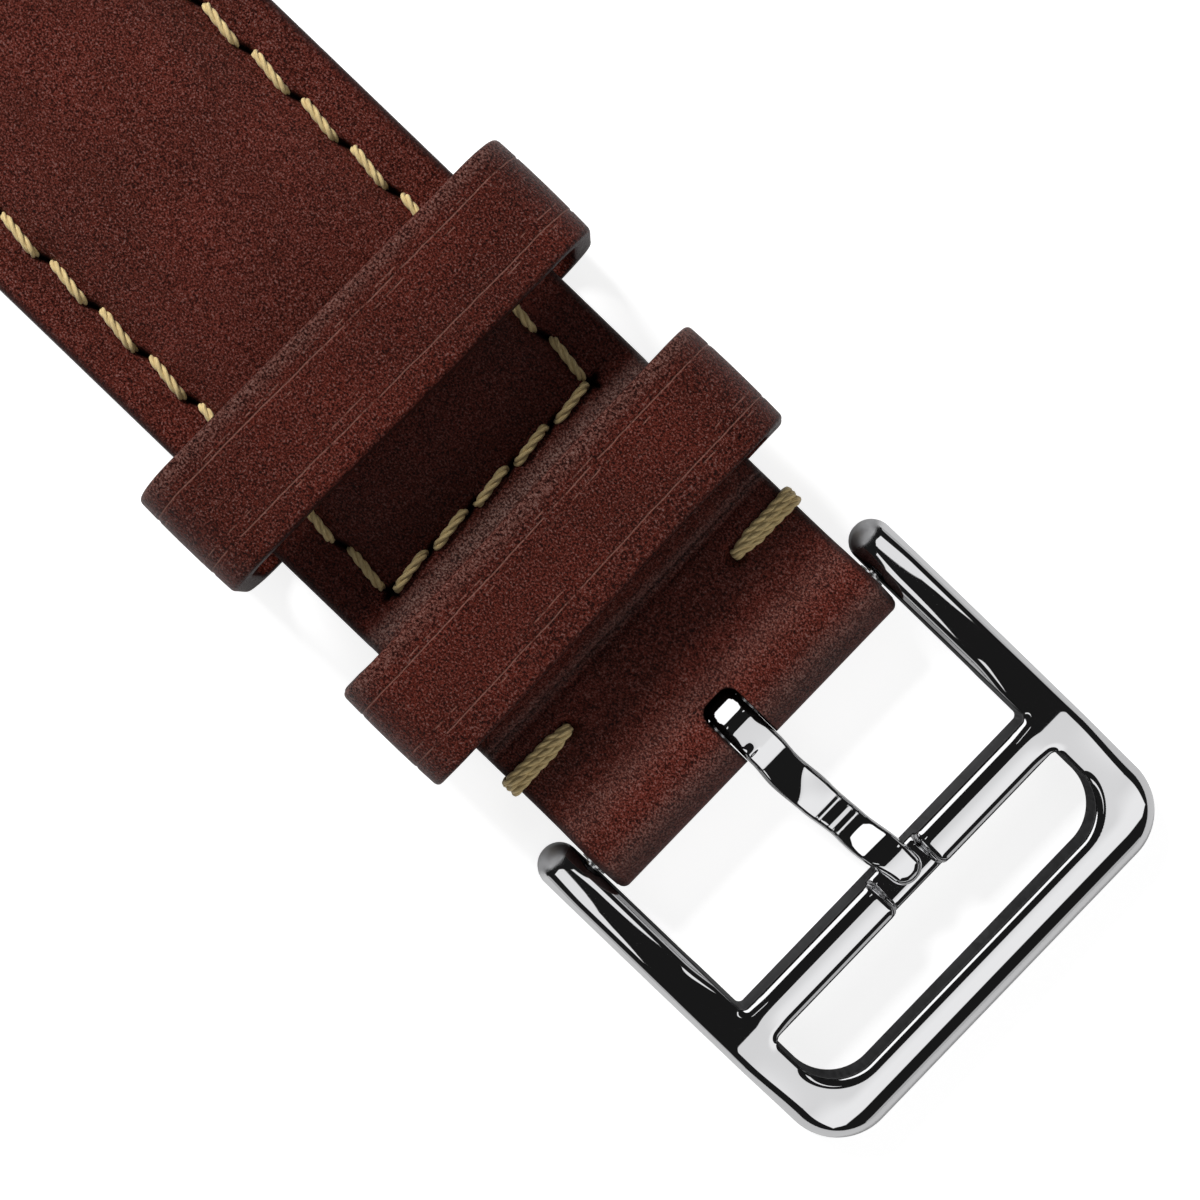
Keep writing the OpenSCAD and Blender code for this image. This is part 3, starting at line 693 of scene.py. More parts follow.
def crossing_cells(value):
    """Cells of a grid that the surface passes through, numbered, and the mean of its crossings in each."""
    inside = value < 0
    corners = [(i, j, k) for i in (0, 1) for j in (0, 1) for k in (0, 1)]
    count = sum(cell_corner(inside, corner).astype(int) for corner in corners)
    mixed = (count > 0) & (count < 8)
    cells = np.argwhere(mixed)
    number = np.full(count.shape, -1)
    number[mixed] = np.arange(len(cells))
    total, hits = np.zeros((len(cells), 3)), np.zeros(len(cells))
    for a in corners:
        for axis in range(3):
            if a[axis]:
                continue
            b = tuple(1 if n == axis else a[n] for n in range(3))
            low, high = cell_corner(value, a)[mixed], cell_corner(value, b)[mixed]
            cross = (low < 0) != (high < 0)
            share = np.where(cross, low / np.where(cross, low - high, 1), 0)
            spot = np.array(a, float) + share[:, None] * np.eye(3)[axis]
            total += spot * cross[:, None]
            hits += cross
    return inside, number, cells + total / hits[:, None]


def slope_of(solid, points, small):
    """How the distance to a solid's surface grows along each axis, at each point."""
    growth = [solid(*(points + small * way).T) - solid(*(points - small * way).T) for way in np.eye(3)]
    return np.column_stack(growth) / (2 * small)


def surface_mesh(name, solid, low, high, step):
    """A closed mesh of the surface where solid(x, y, z) is zero. The solid is where it is below zero."""
    low = np.array(low, float)
    axes = [np.arange(a, b + step, step) for a, b in zip(low, high)]
    inside, number, cells = crossing_cells(solid(*np.meshgrid(*axes, indexing="ij")))
    points = low + cells * step
    for _ in range(5):
        slope = slope_of(solid, points, 0.002)
        move = np.clip(solid(*points.T) / np.maximum((slope ** 2).sum(1), 0.05), -0.1, 0.1)
        points -= slope * move[:, None]
    faces = []
    for axis in range(3):
        other, third = (axis + 1) % 3, (axis + 2) % 3
        first = inside.take(range(inside.shape[axis] - 1), axis)
        second = inside.take(range(1, inside.shape[axis]), axis)
        spots = np.argwhere(first != second)
        spots = spots[(spots[:, other] > 0) & (spots[:, third] > 0)]
        quad = []
        for back_other, back_third in ((1, 1), (0, 1), (0, 0), (1, 0)):
            cell = spots.copy()
            cell[:, other] -= back_other
            cell[:, third] -= back_third
            quad.append(number[tuple(cell.T)])
        quad = np.column_stack(quad)
        outward = first[tuple(spots.T)]
        faces.append(np.where(outward[:, None], quad, quad[:, ::-1]))
    return make_object(name, points, np.concatenate(faces))


def hang(points):
    """Turns points of the buckle, drawn round its own axis, down to where it hangs on the bar."""
    c, s = math.cos(droop), math.sin(droop)
    x = c * points[:, 0] + s * points[:, 2] + buckle_axis[0]
    z = -s * points[:, 0] + c * points[:, 2] + buckle_axis[2]
    return np.column_stack([x, points[:, 1], z])


def hang_mesh(piece):
    piece.data.vertices.foreach_set("co", (hang(places_of(piece)) * MM).ravel())
    piece.data.update()


def shade_exactly(piece, normals):
    """Gives a piece that hangs as the buckle does the normals worked out before it was hung."""
    turned = hang(normals) - np.array([buckle_axis[0], 0, buckle_axis[2]])
    piece.data.normals_split_custom_set_from_vertices(turned.tolist())


def frame_outline(x, y):
    return round_box(x, y, (-arm_tail, -arm_out), (frame_reach, arm_out), 1.14, 3.2)


def strap_window(x, y):
    return round_box(x, y, (-30, -arm_in), (crossbar_in, arm_in), 0.3, 0.3)


def strap_slot(x, y):
    return round_box(x, y, (crossbar_out, -arm_in), (outer_in, arm_in), 0.45, 2.6)


def frame_top_z(x, y):
    """Height of the frame's top: arms filed to their ends, a raised crossbar, falling outer edges."""
    on_bar = smooth(x, 9.7, 10.5) * (1 - smooth(x, 12.7, 13.5)) * (1 - smooth(np.abs(y), 8.8, 10.4))
    ahead = 7.5 - x
    filed = math.tan(math.radians(2.6)) * (np.hypot(ahead, 0.8) + ahead) / 2
    past = x - 11.6
    fall = 0.02 * (np.hypot(past, 0.25) + past) / 2
    inward = frame_outline(x, y) + 2.3
    outer_slope = (0.03 + 0.084 * smooth(x, 12.5, 16.5)) * np.maximum(inward, 0) ** 2
    bar_crown = 0.09 * on_bar * (x - crossbar_in - 0.8) ** 2
    return frame_top + 0.15 * on_bar - filed - fall - outer_slope - bar_crown


def frame_solid(x, y, z):
    """The polished frame. Its openings were milled after its top was rounded, so their edges are crisp."""
    outer, window, slot = frame_outline(x, y), strap_window(x, y), strap_slot(x, y)
    arm = round_meet(outer, -window, 1.1)
    shoulder = notch_half - np.abs(y - notch_y) - 10 * smooth(x, 14, 15)
    top = blend_union(round_meet(z - frame_top_z(x, y), shoulder, 0.6), z - notch_floor, 0.25)
    tail = 1 - smooth(x, -2.0, 1.0)
    near = smooth(x, 6.5, 10.0)
    arm_shape = round_meet(arm, top, frame_round + 0.2 * tail)
    bars = np.maximum(round_meet(outer, top, frame_round),
                      round_meet(-window - 0.31 * near, top, frame_round))
    bars = np.maximum(bars, round_meet(-slot - 0.31, top, frame_round))
    shape = np.where(x < 5, arm_shape, bars)
    plan = np.maximum(arm, -slot)
    base = round_meet(plan, -frame_top - z, frame_edge + 0.6 * tail)
    return np.maximum(round_meet(shape, plan, 0.09), base)


def exact_normals(piece, solid, smoothed):
    """The exact slope of a piece's solid at each point where smoothed is true, and its normal elsewhere."""
    slope = slope_of(solid, places_of(piece), 0.01)
    slope /= np.maximum(np.linalg.norm(slope, axis=1), 1e-9)[:, None]
    return np.where(smoothed[:, None], slope, point_values(piece, "normal"))


def buckle_frame():
    margin = 0.25
    low = (-arm_tail - margin, -arm_out - margin, -frame_top - margin)
    high = (frame_reach + margin, arm_out + margin, frame_top + 2 * margin)
    piece = surface_mesh("polished_frame", frame_solid, low, high, 0.08)
    holes = []
    for side in (-1, 1):
        ends = sorted((side * (arm_in - 1), side * (arm_in + 1.3)))
        holes.append(prism("cut_hole", circle((0, 0), 0.45, 32), 1, *ends))
    cut(piece, holes, "EXACT")
    x, y, z = places_of(piece).T
    point_field(piece, "wall_gap", np.minimum(np.abs(strap_window(x, y)), np.abs(strap_slot(x, y))))
    point_field(piece, "arm_end", 1 - smooth(x + 0.25 * np.abs(np.abs(y) - 11.2), -1.6, -1.0))
    normals = exact_normals(piece, frame_solid, np.hypot(x, z) > 0.7)
    hang_mesh(piece)
    return piece, normals


def tongue_top(x, y):
    """The tongue's wavy top, summed from its slope in degrees at places along it."""
    places = np.array([
        (-1.4, 38), (-1.0, 34), (-0.8, 31), (-0.5, 25), (-0.25, 21), (-0.12, 6), (0.0, 0), (0.3, 0),
        (0.42, -4.5), (1.1, -5), (1.85, -6), (1.95, -11), (2.68, -10), (2.78, 1), (4.6, 0), (4.8, -6),
        (6.3, -9), (6.4, 6), (6.5, 5), (6.54, -6), (6.62, -6), (6.66, 6), (7.1, 6), (7.2, -5), (7.36, -5),
        (7.46, 8), (7.66, 8), (7.7, -6), (7.78, -6), (7.82, 10), (8.15, 16), (8.3, 24), (9.3, 30), (9.5, 14),
        (10.4, 2), (10.6, -4), (11.9, -15), (13.5, -20)])
    fine = np.arange(-2.0, 13.5, 0.01)
    slope = np.tan(np.radians(np.interp(fine, places[:, 0], places[:, 1])))
    height = np.cumsum(slope) * 0.01
    height += eye_r - np.interp(0, fine, height)
    slant = 0.85 * hump(x, 4.7, 1.6)
    nub = hump(y, -0.62, 0.6) * through(x, [(1.15, 0), (1.75, 0.06), (1.9, 0)])
    return np.interp(x + slant * y, fine, height) + nub


def tongue_low(x):
    return through(x, [(1.0, 0.1), (3.4, 0.22), (7.2, 0.05), (9.6, 0.74), (12.3, 0.74)])


def tongue_lean(x):
    return through(x, [(-0.5, 0.09), (2.2, 0.06), (3.6, -0.05), (5.7, 0.08), (8.0, 0.25), (11.5, 0.62)])


def tongue_solid(x, y, z):
    """The blade, the curl round the bar's tube, and the bore that the tube turns in."""
    half = through(x, [(-1.3, 0.93), (0.4, 1.0), (2.2, 1.02), (5.0, 1.04), (7.6, 0.95), (9.4, 1.02),
                       (11.5, 0.92)])
    across = y - tongue_lean(x)
    side = np.abs(across) - half
    crown = (0.04 + 0.1 * hump(x, 9.1, 1.3)) * np.clip(np.abs(across) / half, 0, 1) ** 2
    top = (z - tongue_top(x, across) + crown) * 0.93
    low = (tongue_low(x) - z) * 0.95
    tip = round_meet(x - 12.2, side, 0.88)
    edge = 0.48 - 0.18 * smooth(x, 0.3, 1.5) + 0.2 * smooth(x, 9.5, 11.5)
    blade = np.maximum(round_meet(tip, top, edge), round_meet(tip, low, 0.2))
    blade = np.maximum(blade, -x)
    eye = np.maximum(round_meet(np.hypot(x, z) - eye_r + crown, side, 0.48), top)
    return np.maximum(np.minimum(blade, eye), tube_r + 0.05 - np.hypot(x, z))


def tongue():
    piece = surface_mesh("polished_tongue", tongue_solid, (-1.7, -1.4, -1.7), (12.8, 2.0, 2.3), 0.065)
    x, _, z = places_of(piece).T
    point_field(piece, "wall_gap", np.ones(len(x)))
    normals = exact_normals(piece, tongue_solid, np.hypot(x, z) > tube_r + 0.2)
    hang_mesh(piece)
    return piece, normals


def coil(name, node, side):
    """One half of the spring in a bar: it is pressed towards the middle by the pin on its side."""
    low, high = box_mm(node)
    centre = (low + high) / 2
    wire_r, wire_sides, turns = 0.08, 6, 15
    reach, radius = high[1] - centre[1] - wire_r, (high[2] - low[2]) / 2 - wire_r
    steps = turns * 14
    turn = np.linspace(0, 2 * math.pi * turns, steps)
    out = np.column_stack([np.cos(turn), np.zeros(steps), np.sin(turn)])
    path = centre + radius * out + np.outer(side * np.linspace(0.09, reach, steps), (0, 1, 0))
    along = np.gradient(path, axis=0)
    along /= np.linalg.norm(along, axis=1)[:, None]
    other = np.cross(along, out)
    ring = np.linspace(0, 2 * math.pi, wire_sides, endpoint=False)[:, None]
    points = path[:, None] + wire_r * (np.cos(ring) * out[:, None] + np.sin(ring) * other[:, None])
    piece = make_object(name, points.reshape(-1, 3), tube_faces(steps, wire_sides))
    weld(piece, 0.0001)
    return piece


# Materials

class Shades:
    """Short ways to add and join the nodes of a material or group."""

    def __init__(self, tree):
        self.tree = tree

    def feed(self, socket, value):
        if isinstance(value, bpy.types.NodeSocket):
            self.tree.links.new(value, socket)
        else:
            socket.default_value = value

    def add(self, kind, inputs=None, **settings):
        made = self.tree.nodes.new(kind)
        for key, value in settings.items():
            setattr(made, key, value)
        for key, value in (inputs or {}).items():
            self.feed(made.inputs[key], value)
        return made

    def drive(self, name, value):
        """Feeds one socket of the material's Principled shader."""
        self.feed(self.tree.nodes["Principled BSDF"].inputs[name], value)

    def math(self, operation, a, b=0.0, c=0.0):
        return self.add("ShaderNodeMath", {0: a, 1: b, 2: c}, operation=operation).outputs[0]

    def plus(self, a, b):
        return self.math("ADD", a, b)

    def minus(self, a, b):
        return self.math("SUBTRACT", a, b)

    def times(self, a, b):
        return self.math("MULTIPLY", a, b)

    def most(self, a, b):
        return self.math("MAXIMUM", a, b)

    def scaled(self, vector, scale):
        return self.add("ShaderNodeVectorMath", {0: vector, 1: scale}, operation="MULTIPLY").outputs[0]

    def moved(self, vector, step):
        return self.add("ShaderNodeVectorMath", {0: vector, 1: step}, operation="ADD").outputs[0]

    def parts(self, vector):
        return self.add("ShaderNodeSeparateXYZ", {0: vector}).outputs

    def noise(self, vector, scale, detail=2.0, rough=0.5):
        node = self.add("ShaderNodeTexNoise", {"Vector": vector, "Scale": scale, "Detail": detail,
                                               "Roughness": rough})
        return node.outputs["Fac"]

    def ramp(self, value, low, high, to_low=0.0, to_high=1.0):
        node = self.add("ShaderNodeMapRange", {"Value": value, "From Min": low, "From Max": high,
                                               "To Min": to_low, "To Max": to_high},
                        interpolation_type="SMOOTHSTEP")
        return node.outputs["Result"]

    def between(self, value, rise, fall):
        """1 where the value lies between two soft steps, each given by its start and end."""
        return self.times(self.ramp(value, *rise), self.ramp(value, *fall, 1.0, 0.0))

    def mix(self, share, a, b, blend="MIX"):
        node = self.add("ShaderNodeMix", {0: share, 6: a, 7: b}, data_type="RGBA", blend_type=blend)
        return node.outputs[2]

    def mix_level(self, share, a, b):
        return self.add("ShaderNodeMix", {0: share, 2: a, 3: b}, data_type="FLOAT").outputs[0]

    def group(self, tree, inputs):
        return self.add("ShaderNodeGroup", inputs, node_tree=tree)

    def place_mm(self):
        return self.scaled(self.add("ShaderNodeTexCoord").outputs["Object"], (1 / MM, 1 / MM, 1 / MM))

    def mask(self, name, output="Fac"):
        return self.add("ShaderNodeAttribute", attribute_name=name).outputs[output]

    def bump(self, height, strength, distance):
        node = self.add("ShaderNodeBump", {"Height": height, "Strength": strength,
                                           "Distance": distance * MM})
        self.drive("Normal", node.outputs["Normal"])


def new_group(name, inputs, outputs):
    """A shader group. Inputs are (name, kind, value) and outputs (name, kind)."""
    tree = bpy.data.node_groups.new(name, "ShaderNodeTree")
    for label, kind, value in inputs:
        socket = tree.interface.new_socket(name=label, in_out="INPUT", socket_type=kind)
        if value is not None:
            socket.default_value = value
    for label, kind in outputs:
        tree.interface.new_socket(name=label, in_out="OUTPUT", socket_type=kind)
    given, made = tree.nodes.new("NodeGroupInput").outputs, tree.nodes.new("NodeGroupOutput").inputs
    return tree, Shades(tree), given, made


FLOAT, VECTOR = "NodeSocketFloat", "NodeSocketVector"


def hide_grain_group():
    """Fine pebbles of a leather's face: height for a bump, slow patches, and the shiny tops of pebbles."""
    tree, s, given, made = new_group(
        "hide_grain", [("Place", VECTOR, None), ("Pebble Size", FLOAT, 0.2)],
        [("Height", FLOAT), ("Patches", FLOAT), ("Tops", FLOAT)])
    scale = s.math("DIVIDE", 1.0, given["Pebble Size"])
    warp = s.add("ShaderNodeTexNoise", {"Vector": given["Place"], "Scale": 2.5, "Detail": 2.0})
    bent = s.moved(s.scaled(warp.outputs["Color"], (0.25, 0.25, 0.25)), given["Place"])
    cells = s.add("ShaderNodeTexVoronoi", {"Vector": bent, "Scale": scale, "Randomness": 0.9},
                  feature="SMOOTH_F1").outputs["Distance"]
    fine = s.noise(bent, s.times(scale, 1.6), 3.0, 0.6)
    s.feed(made["Height"], s.minus(s.times(fine, 1.1), s.times(cells, 0.55)))
    s.feed(made["Patches"], s.noise(given["Place"], 0.16, 4.0, 0.6))
    spread = s.scaled(given["Place"], (1.0, 1.15, 1.0))
    s.feed(made["Tops"], s.noise(spread, s.times(scale, 1.25), 2.0, 0.7))
    return tree


def grain_with_painted_light(s, hide, colour, glint):
    """A leather's colour with painted light on its pebbles: painted shade in the pits and painted glints on
    the tops.
    """
    tops = hide.outputs["Tops"]
    shade = s.ramp(tops, 0.35, 0.63, 0.12, 1.85)
    grey = s.add("ShaderNodeCombineColor", {0: shade, 1: shade, 2: shade}).outputs[0]
    return s.mix(s.ramp(tops, 0.55, 0.70, 0.0, 0.52), s.mix(1.0, colour, grey, "MULTIPLY"), glint)


def fine_scratch_group():
    """Long thin scratches along one direction, as a mask."""
    tree, s, given, made = new_group(
        "fine_scratches", [("Place", VECTOR, None), ("Cover", FLOAT, 0.6)], [("Mask", FLOAT)])
    lines = s.noise(s.scaled(given["Place"], (14.0, 0.35, 1.0)), 1.0, 3.0, 0.7)
    broken = s.noise(s.scaled(given["Place"], (1.2, 0.5, 1.0)), 1.0, 2.0)
    sharp = s.ramp(lines, given["Cover"], s.plus(given["Cover"], 0.08))
    s.feed(made["Mask"], s.times(sharp, s.ramp(broken, 0.42, 0.6)))
    return tree


def finish_material(name, **sockets):
    """A material and its nodes. The plain values of its Principled shader are set here."""
    material = bpy.data.materials.new(name)
    material.use_nodes = True
    s = Shades(material.node_tree)
    for key, value in sockets.items():
        s.drive(key.replace("_", " "), value)
    return material, s


def strap_leather(grain):
    material, s = finish_material("oxblood_strap_leather")
    hide = s.group(grain, {"Place": s.place_mm(), "Pebble Size": 0.14})
    burnish, slit, rub_and_sheen = s.mask("burnish"), s.mask("slit"), s.mask("rub_and_sheen")
    patches = s.ramp(hide.outputs["Patches"], 0.3, 0.7)
    colour = s.mix(patches, (0.058, 0.0110, 0.0066, 1), (0.080, 0.0142, 0.0090, 1))
    # Painted shade in the pebbles' pits and painted glints on their tops.
    colour = grain_with_painted_light(s, hide, colour, (0.19, 0.145, 0.135, 1))
    # Painted sheen: paler speckles on the pebble tops along the rub humps.
    painted_sheen = s.times(rub_and_sheen, s.ramp(hide.outputs["Tops"], 0.46, 0.60))
    colour = s.mix(s.times(painted_sheen, 0.75), colour, (0.22, 0.14, 0.115, 1))
    colour = s.mix(s.times(burnish, 0.8), colour, (0.020, 0.006, 0.005, 1))
    # Painted shade: the seam's slits and the tongue slot's walls are painted near black.
    s.drive("Base Color", s.mix(slit, colour, (0.004, 0.0015, 0.0012, 1)))
    rough = s.plus(s.ramp(hide.outputs["Patches"], 0.3, 0.7, 0.34, 0.42), s.times(slit, 0.4))
    s.drive("Roughness", s.math("MULTIPLY_ADD", rub_and_sheen, -0.06, rough))
    s.drive("Specular IOR Level", s.math("MULTIPLY_ADD", rub_and_sheen, 0.6, 0.14))
    s.bump(hide.outputs["Height"], 1.0, 0.09)
    return material


def rubbed_lines(s, scratches, band):
    """Thin light lines pressed along a keeper's two sides and paled by rubbing."""
    waver = s.noise(s.scaled(band, (0.0, 0.5, 0.0)), 1.0, 3.0, 0.6)
    place = s.plus(s.parts(band)[0], s.times(s.minus(waver, 0.5), 0.14))
    lines = 0.0
    places = ((-2.15, 0.5), (-1.9, 0.40), (-1.45, 0.52), (1.2, 0.5), (1.75, 0.38), (2.0, 0.55))
    for index, (offset, cover) in enumerate(places):
        line = s.ramp(s.math("ABSOLUTE", s.minus(place, offset)), 0.015, 0.06, 1.0, 0.0)
        shifted = s.scaled(s.moved(band, (5.0 * index, 3.0 * index, 0.0)), (0.1, 0.35, 0.0))
        present = s.ramp(s.noise(shifted, 1.0, 4.0, 0.7), cover, cover + 0.08)
        lines = s.most(lines, s.times(line, present))
    hair = s.group(scratches, {"Place": band, "Cover": 0.6}).outputs["Mask"]
    return s.most(lines, s.times(hair, 0.5))


def keeper_leather(grain, scratches):
    material, s = finish_material("oxblood_keeper_leather", Specular_IOR_Level=0.15)
    band = s.mask("band", "Vector")
    across = s.parts(band)
    outside = s.ramp(across[2], 0.8, 0.98)
    hide = s.group(grain, {"Place": s.place_mm(), "Pebble Size": 0.15})
    streaks = s.times(rubbed_lines(s, scratches, band), outside)
    patches = s.ramp(hide.outputs["Patches"], 0.3, 0.7)
    colour = s.mix(patches, (0.046, 0.0076, 0.0042, 1), (0.068, 0.0108, 0.0062, 1))
    # Painted shade in the pebbles' pits and painted glints on their tops.
    colour = grain_with_painted_light(s, hide, colour, (0.17, 0.130, 0.120, 1))
    colour = s.mix(s.times(streaks, 0.6), colour, (0.24, 0.11, 0.085, 1))
    # Painted sheen: paler speckles along the keeper's side that faces the key lamp.
    painted_sheen = s.times(s.ramp(across[0], -2.2, -2.9), outside)
    painted_sheen = s.times(painted_sheen, s.ramp(hide.outputs["Tops"], 0.40, 0.66))
    colour = s.mix(s.times(painted_sheen, 0.42), colour, (0.20, 0.120, 0.10, 1))
    rim = s.ramp(s.math("ABSOLUTE", across[0]), 3.24, 3.30)
    s.drive("Base Color", s.mix(s.times(rim, 0.85), colour, (0.020, 0.006, 0.005, 1)))
    s.drive("Roughness", s.ramp(hide.outputs["Patches"], 0.3, 0.7, 0.32, 0.40))
    s.bump(s.minus(hide.outputs["Height"], s.times(streaks, 0.5)), 1.0, 0.09)
    return material


def lining_material(grain):
    material, s = finish_material("lining_finish", Specular_IOR_Level=0.35)
    hide = s.group(grain, {"Place": s.place_mm(), "Pebble Size": 0.32})
    patches = s.ramp(hide.outputs["Patches"], 0.3, 0.7)
    colour = s.mix(patches, (0.17, 0.075, 0.045, 1), (0.23, 0.105, 0.065, 1))
    s.drive("Base Color", s.mix(s.times(s.mask("burnish"), 0.8), colour, (0.022, 0.006, 0.005, 1)))
    s.drive("Roughness", s.ramp(hide.outputs["Height"], 0.0, 0.6, 0.6, 0.72))
    s.bump(hide.outputs["Height"], 0.3, 0.05)
    return material


def felt_material():
    material, s = finish_material("felt_finish", Specular_IOR_Level=0.2, Sheen_Weight=0.3)
    fibres = s.noise(s.scaled(s.place_mm(), (3.0, 3.0, 8.0)), 1.5, 5.0, 0.7)
    s.drive("Base Color", s.mix(fibres, (0.42, 0.34, 0.24, 1), (0.62, 0.54, 0.42, 1)))
    s.drive("Roughness", s.ramp(fibres, 0.3, 0.7, 0.8, 0.95))
    s.bump(fibres, 0.6, 0.1)
    return material


def thread_material():
    material, s = finish_material("waxed_thread", Specular_IOR_Level=0.45, Sheen_Weight=0.15)
    fibres = s.noise(s.scaled(s.mask("strand", "Vector"), (1.4, 9.0, 7.0)), 2.0, 4.0, 0.65)
    blotches = s.noise(s.place_mm(), 0.8, 3.0)
    colour = s.mix(s.ramp(fibres, 0.3, 0.7), (0.36, 0.25, 0.11, 1), (0.86, 0.68, 0.33, 1))
    s.drive("Base Color", s.mix(s.ramp(blotches, 0.35, 0.7, 0.0, 0.35), colour, (0.45, 0.33, 0.16, 1)))
    s.drive("Roughness", s.ramp(fibres, 0.3, 0.7, 0.62, 0.45))
    s.bump(fibres, 0.6, 0.03)
    return material


def polished_material(scratches):
    """Mirror polish, with dull milled walls in the openings and dull ends on the arms."""
    material, s = finish_material("polished_steel_finish", Metallic=1.0)
    place, gap, end = s.place_mm(), s.mask("wall_gap"), s.mask("arm_end")
    wall, edge = s.ramp(gap, 0.06, 0.08, 1.0, 0.0), s.ramp(gap, 0.02, 0.045)
    smear = s.noise(place, 0.7, 3.0)
    hair = s.group(scratches, {"Place": s.scaled(place, (2.2, 2.2, 0.3)), "Cover": 0.68}).outputs["Mask"]
    brushed = s.noise(s.scaled(place, (9.0, 9.0, 0.4)), 1.0, 3.0, 0.7)
    shine = s.plus(s.ramp(smear, 0.3, 0.75, 0.012, 0.024), s.times(hair, 0.03))
    rough = s.mix_level(wall, shine, s.ramp(brushed, 0.3, 0.7, 0.34, 0.48))
    s.drive("Roughness", s.mix_level(end, rough, 0.5))
    milled = s.mix(s.ramp(brushed, 0.3, 0.7), (0.25, 0.25, 0.255, 1), (0.31, 0.31, 0.315, 1))
    # Painted dark reflection: a near-black line where the polished top meets each milled wall.
    milled = s.mix(edge, milled, (0.03, 0.03, 0.03, 1))
    colour = s.mix(wall, (0.76, 0.76, 0.77, 1), milled)
    s.drive("Base Color", s.mix(end, colour, (0.46, 0.46, 0.47, 1)))
    s.drive("Specular Tint", s.mix(wall, (1, 1, 1, 1), (0.12, 0.12, 0.12, 1)))
    return material


def satin_material(scratches):
    material, s = finish_material("turned_steel_finish", Metallic=1.0)
    place = s.place_mm()
    rings = s.noise(s.scaled(place, (0.4, 12.0, 0.4)), 1.0, 3.0, 0.7)
    hair = s.group(scratches, {"Place": place, "Cover": 0.66}).outputs["Mask"]
    s.drive("Base Color", s.mix(rings, (0.50, 0.50, 0.51, 1), (0.66, 0.66, 0.67, 1)))
    s.drive("Roughness", s.plus(s.ramp(rings, 0.3, 0.7, 0.22, 0.36), s.times(hair, 0.1)))
    s.bump(rings, 0.2, 0.01)
    return material


# Stage

def floor():
    """A pale floor. Camera and mirror rays see it white, and it keeps the strap's shadow."""
    reach = 600.0
    centre = np.array([buckle_axis[0] / 2, 0, -0.02])
    corners = [centre + reach * np.array([sx, sy, 0]) for sx, sy in ((-1, -1), (1, -1), (1, 1), (-1, 1))]
    made = make_object("floor", corners, [(0, 1, 2, 3)])
    material, s = finish_material("pale_floor", Base_Color=(0.5, 0.5, 0.5, 1), Roughness=0.9,
                                  Specular_IOR_Level=0.0, Emission_Color=(1, 1, 1, 1))
    paths = s.add("ShaderNodeLightPath").outputs
    seen = s.most(paths["Is Camera Ray"], paths["Is Transmission Ray"])
    s.drive("Emission Strength", s.plus(s.times(seen, 0.82), s.times(paths["Is Glossy Ray"], 0.15)))
    made.data.materials.append(material)


def studio():
    """A world that is white to the camera, softly grey as light, and striped as metal sees it."""
    world = bpy.data.worlds.new("studio")
    bpy.context.scene.world = world
    world.use_nodes = True
    world.node_tree.nodes.clear()
    s = Shades(world.node_tree)
    part = s.parts(s.add("ShaderNodeTexCoord").outputs["Generated"])
    along = s.times(s.math("ARCSINE", part[0]), 180 / math.pi)
    aside = s.math("ABSOLUTE", s.times(s.math("ARCSINE", part[1]), 180 / math.pi))
    share = s.math("DIVIDE", s.minus(along, 4.0), 2.9)
    bend = s.math("MULTIPLY_ADD", s.math("POWER", s.math("ABSOLUTE", share), 6.0), 33.0,
                  s.math("MULTIPLY_ADD", share, 3.5, 10.5))
    small = s.times(s.ramp(s.minus(aside, bend), -0.15, 0.15), s.ramp(along, 2.0, 2.2))
    small = s.times(small, s.math("LESS_THAN", along, 8.0))
    small = s.times(small, s.ramp(aside, 43.0, 45.0, 1.0, 0.0))
    left = s.times(s.between(along, (-60.5, -60.0), (-32.5, -32.0)), 1.4)
    strip = s.times(s.between(along, (15.1, 15.3), (44.5, 45.5)), s.ramp(along, 15.0, 32.0, 0.88, 1.1))
    boxes = s.times(s.plus(left, strip), s.ramp(aside, 40.0, 42.0, 1.0, 0.0))
    far = s.most(s.times(s.ramp(along, 74.0, 76.0), 0.5), s.times(s.ramp(aside, 76.0, 78.0), 0.5))
    lit = s.most(s.times(s.most(boxes, small), 0.95), far)
    below = s.times(s.math("LESS_THAN", part[2], 0.0), 0.6)
    paths = s.add("ShaderNodeLightPath").outputs
    level = s.mix_level(paths["Is Glossy Ray"], 0.23, s.most(s.most(lit, 0.012), below))
    seen = s.most(paths["Is Camera Ray"], paths["Is Transmission Ray"])
    strength = s.mix_level(seen, level, 1.0)
    background = s.add("ShaderNodeBackground", {"Color": (1, 1, 1, 1), "Strength": strength})
    s.add("ShaderNodeOutputWorld", {"Surface": background.outputs[0]})


def soft_light(name, target, way, distance, size, power):
    """A square lamp at a distance in a direction from its target, all in millimetres.

    Metal doesn't see the lamp itself: it sees the white areas of the world."""
    lamp = bpy.data.lights.new(name, "AREA")
    lamp.shape = "SQUARE"
    lamp.size = size * MM
    lamp.energy = power
    made = bpy.data.objects.new(name, lamp)
    way = Vector(way).normalized()
    made.location = (Vector(target) + way * distance) * MM
    made.rotation_euler = way.to_track_quat("Z", "Y").to_euler()
    made.visible_glossy = False
    place_in_scene(made)


def photo_camera():
    """The camera looks straight down, turned so that the strap runs from upper left to lower right."""
    data = bpy.data.cameras.new("photo_camera")
    data.lens = camera_lens
    data.sensor_width = 36.0
    data.sensor_fit = "HORIZONTAL"
    data.clip_start = 0.01
    made = bpy.data.objects.new("photo_camera", data)
    made.location = Vector(camera_place) * MM
    made.rotation_euler = (0, 0, camera_turn)
    bpy.context.scene.camera = place_in_scene(made)


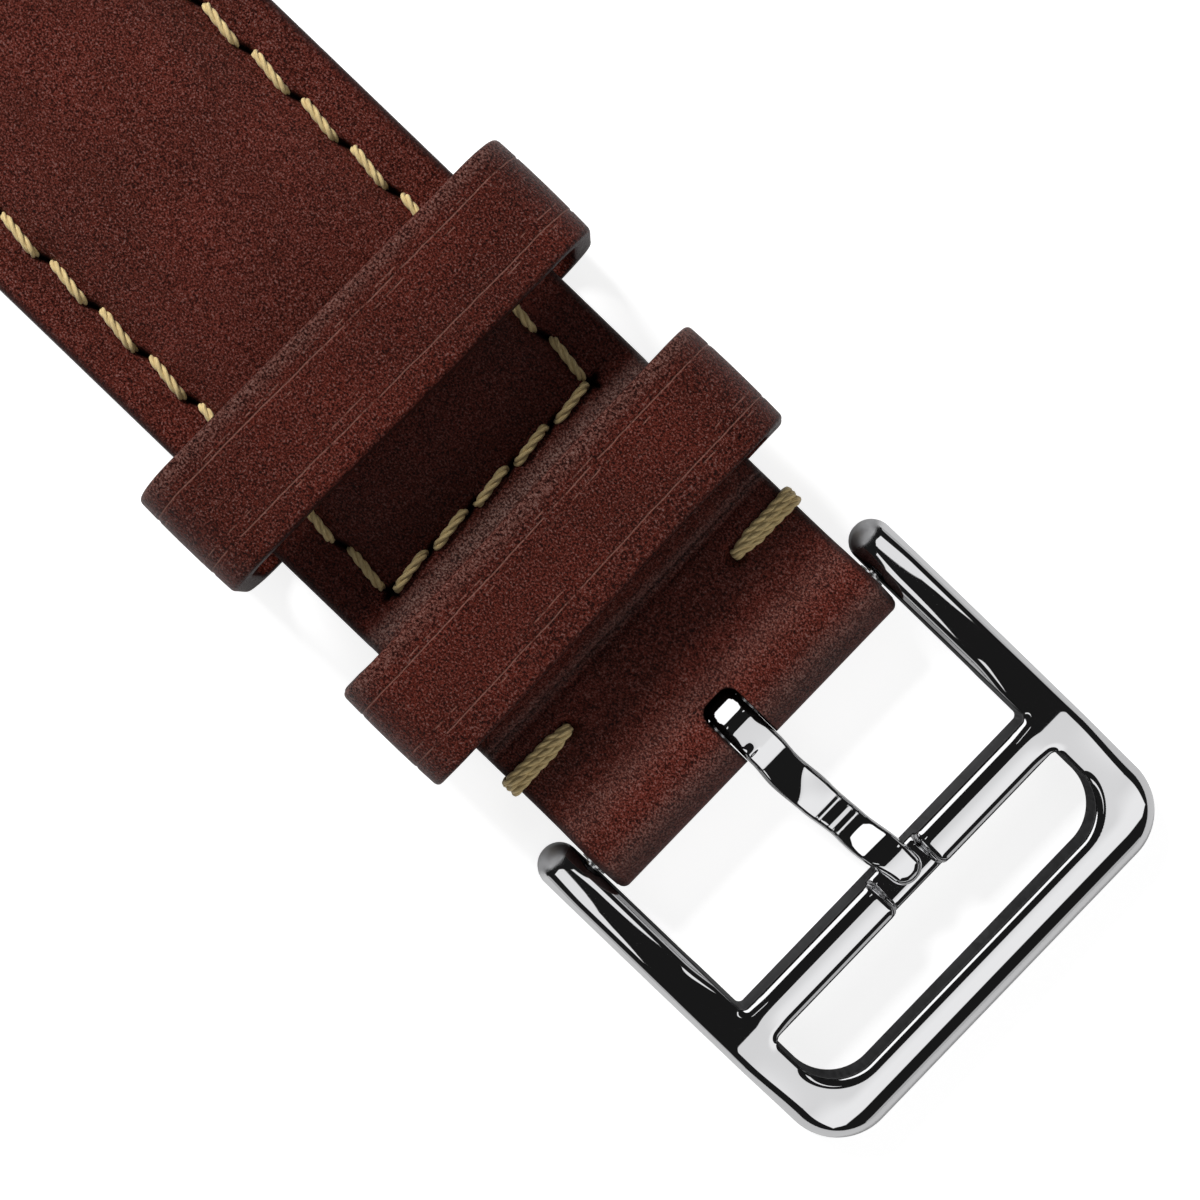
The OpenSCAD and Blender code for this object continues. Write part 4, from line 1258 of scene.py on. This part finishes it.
def build():
    grain, scratches = hide_grain_group(), fine_scratch_group()
    band_leather, thread = keeper_leather(grain, scratches), thread_material()
    polished, satin = polished_material(scratches), satin_material(scratches)
    dress(outer_leather(), "strap", strap_leather(grain), "upper_leather")
    dress(lining(), "strap", lining_material(grain), "lining_leather")
    filler = dress(padding_form("felt_filler", glue), "strap", felt_material(), "padding_core")
    for body, node, looped in (
            ("strap", "fixed_keeper", keeper("fixed_keeper_band", "fixed_keeper", -0.024, 0.0, 1.0)),
            ("loose_keeper", "floating_keeper",
             keeper("loose_keeper_band", "floating_keeper", 0.018, 0.018, 4.0, True))):
        dress(looped, body, band_leather, node)
    for body, node, sewn in (
            ("strap", "upper_seam_thread", seam_thread("seam_stitches_top", True)),
            ("strap", "lower_seam_thread", seam_thread("seam_stitches_under", False)),
            ("strap", "bar_tack_left", tack("edge_tack_left", "bar_tack_left")),
            ("strap", "bar_tack_right", tack("edge_tack_right", "bar_tack_right")),
            ("loose_keeper", "floating_keeper_thread", lap_stitches())):
        dress(sewn, body, thread, node, 80)
    for body, node, (piece, normals) in (("buckle", "buckle_frame", buckle_frame()),
                                         ("tongue", "tongue", tongue())):
        dress(piece, body, polished, node, 70)
        shade_exactly(piece, normals)
    for bar, axis in (("buckle", buckle_axis), ("lug", lug_axis)):
        for word, side in (("left", -1), ("right", 1)):
            piece = coil(f"{bar}_spring_{word}_half", f"{bar}_bar_spring", side)
            dress(piece, f"{bar}_bar", satin, f"{bar}_bar_spring")
            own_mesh(piece)
        for node in (f"{bar}_bar_tube", f"{bar}_bar_pin_left", f"{bar}_bar_pin_right"):
            solid = frame["nodes"][node]
            solid.data.materials.clear()
            solid.data.materials.append(satin)


def light_and_view():
    floor()
    studio()
    middle = (66.0, 0.0, 4.0)
    soft_light("key_lamp", middle, (-0.79, 0.08, 0.61), 420, 130, 2.2)
    soft_light("fill_lamp", middle, (0.85, -0.1, 0.5), 420, 200, 0.4)
    photo_camera()
    bpy.context.scene.view_settings.view_transform = "Standard"


build()
light_and_view()
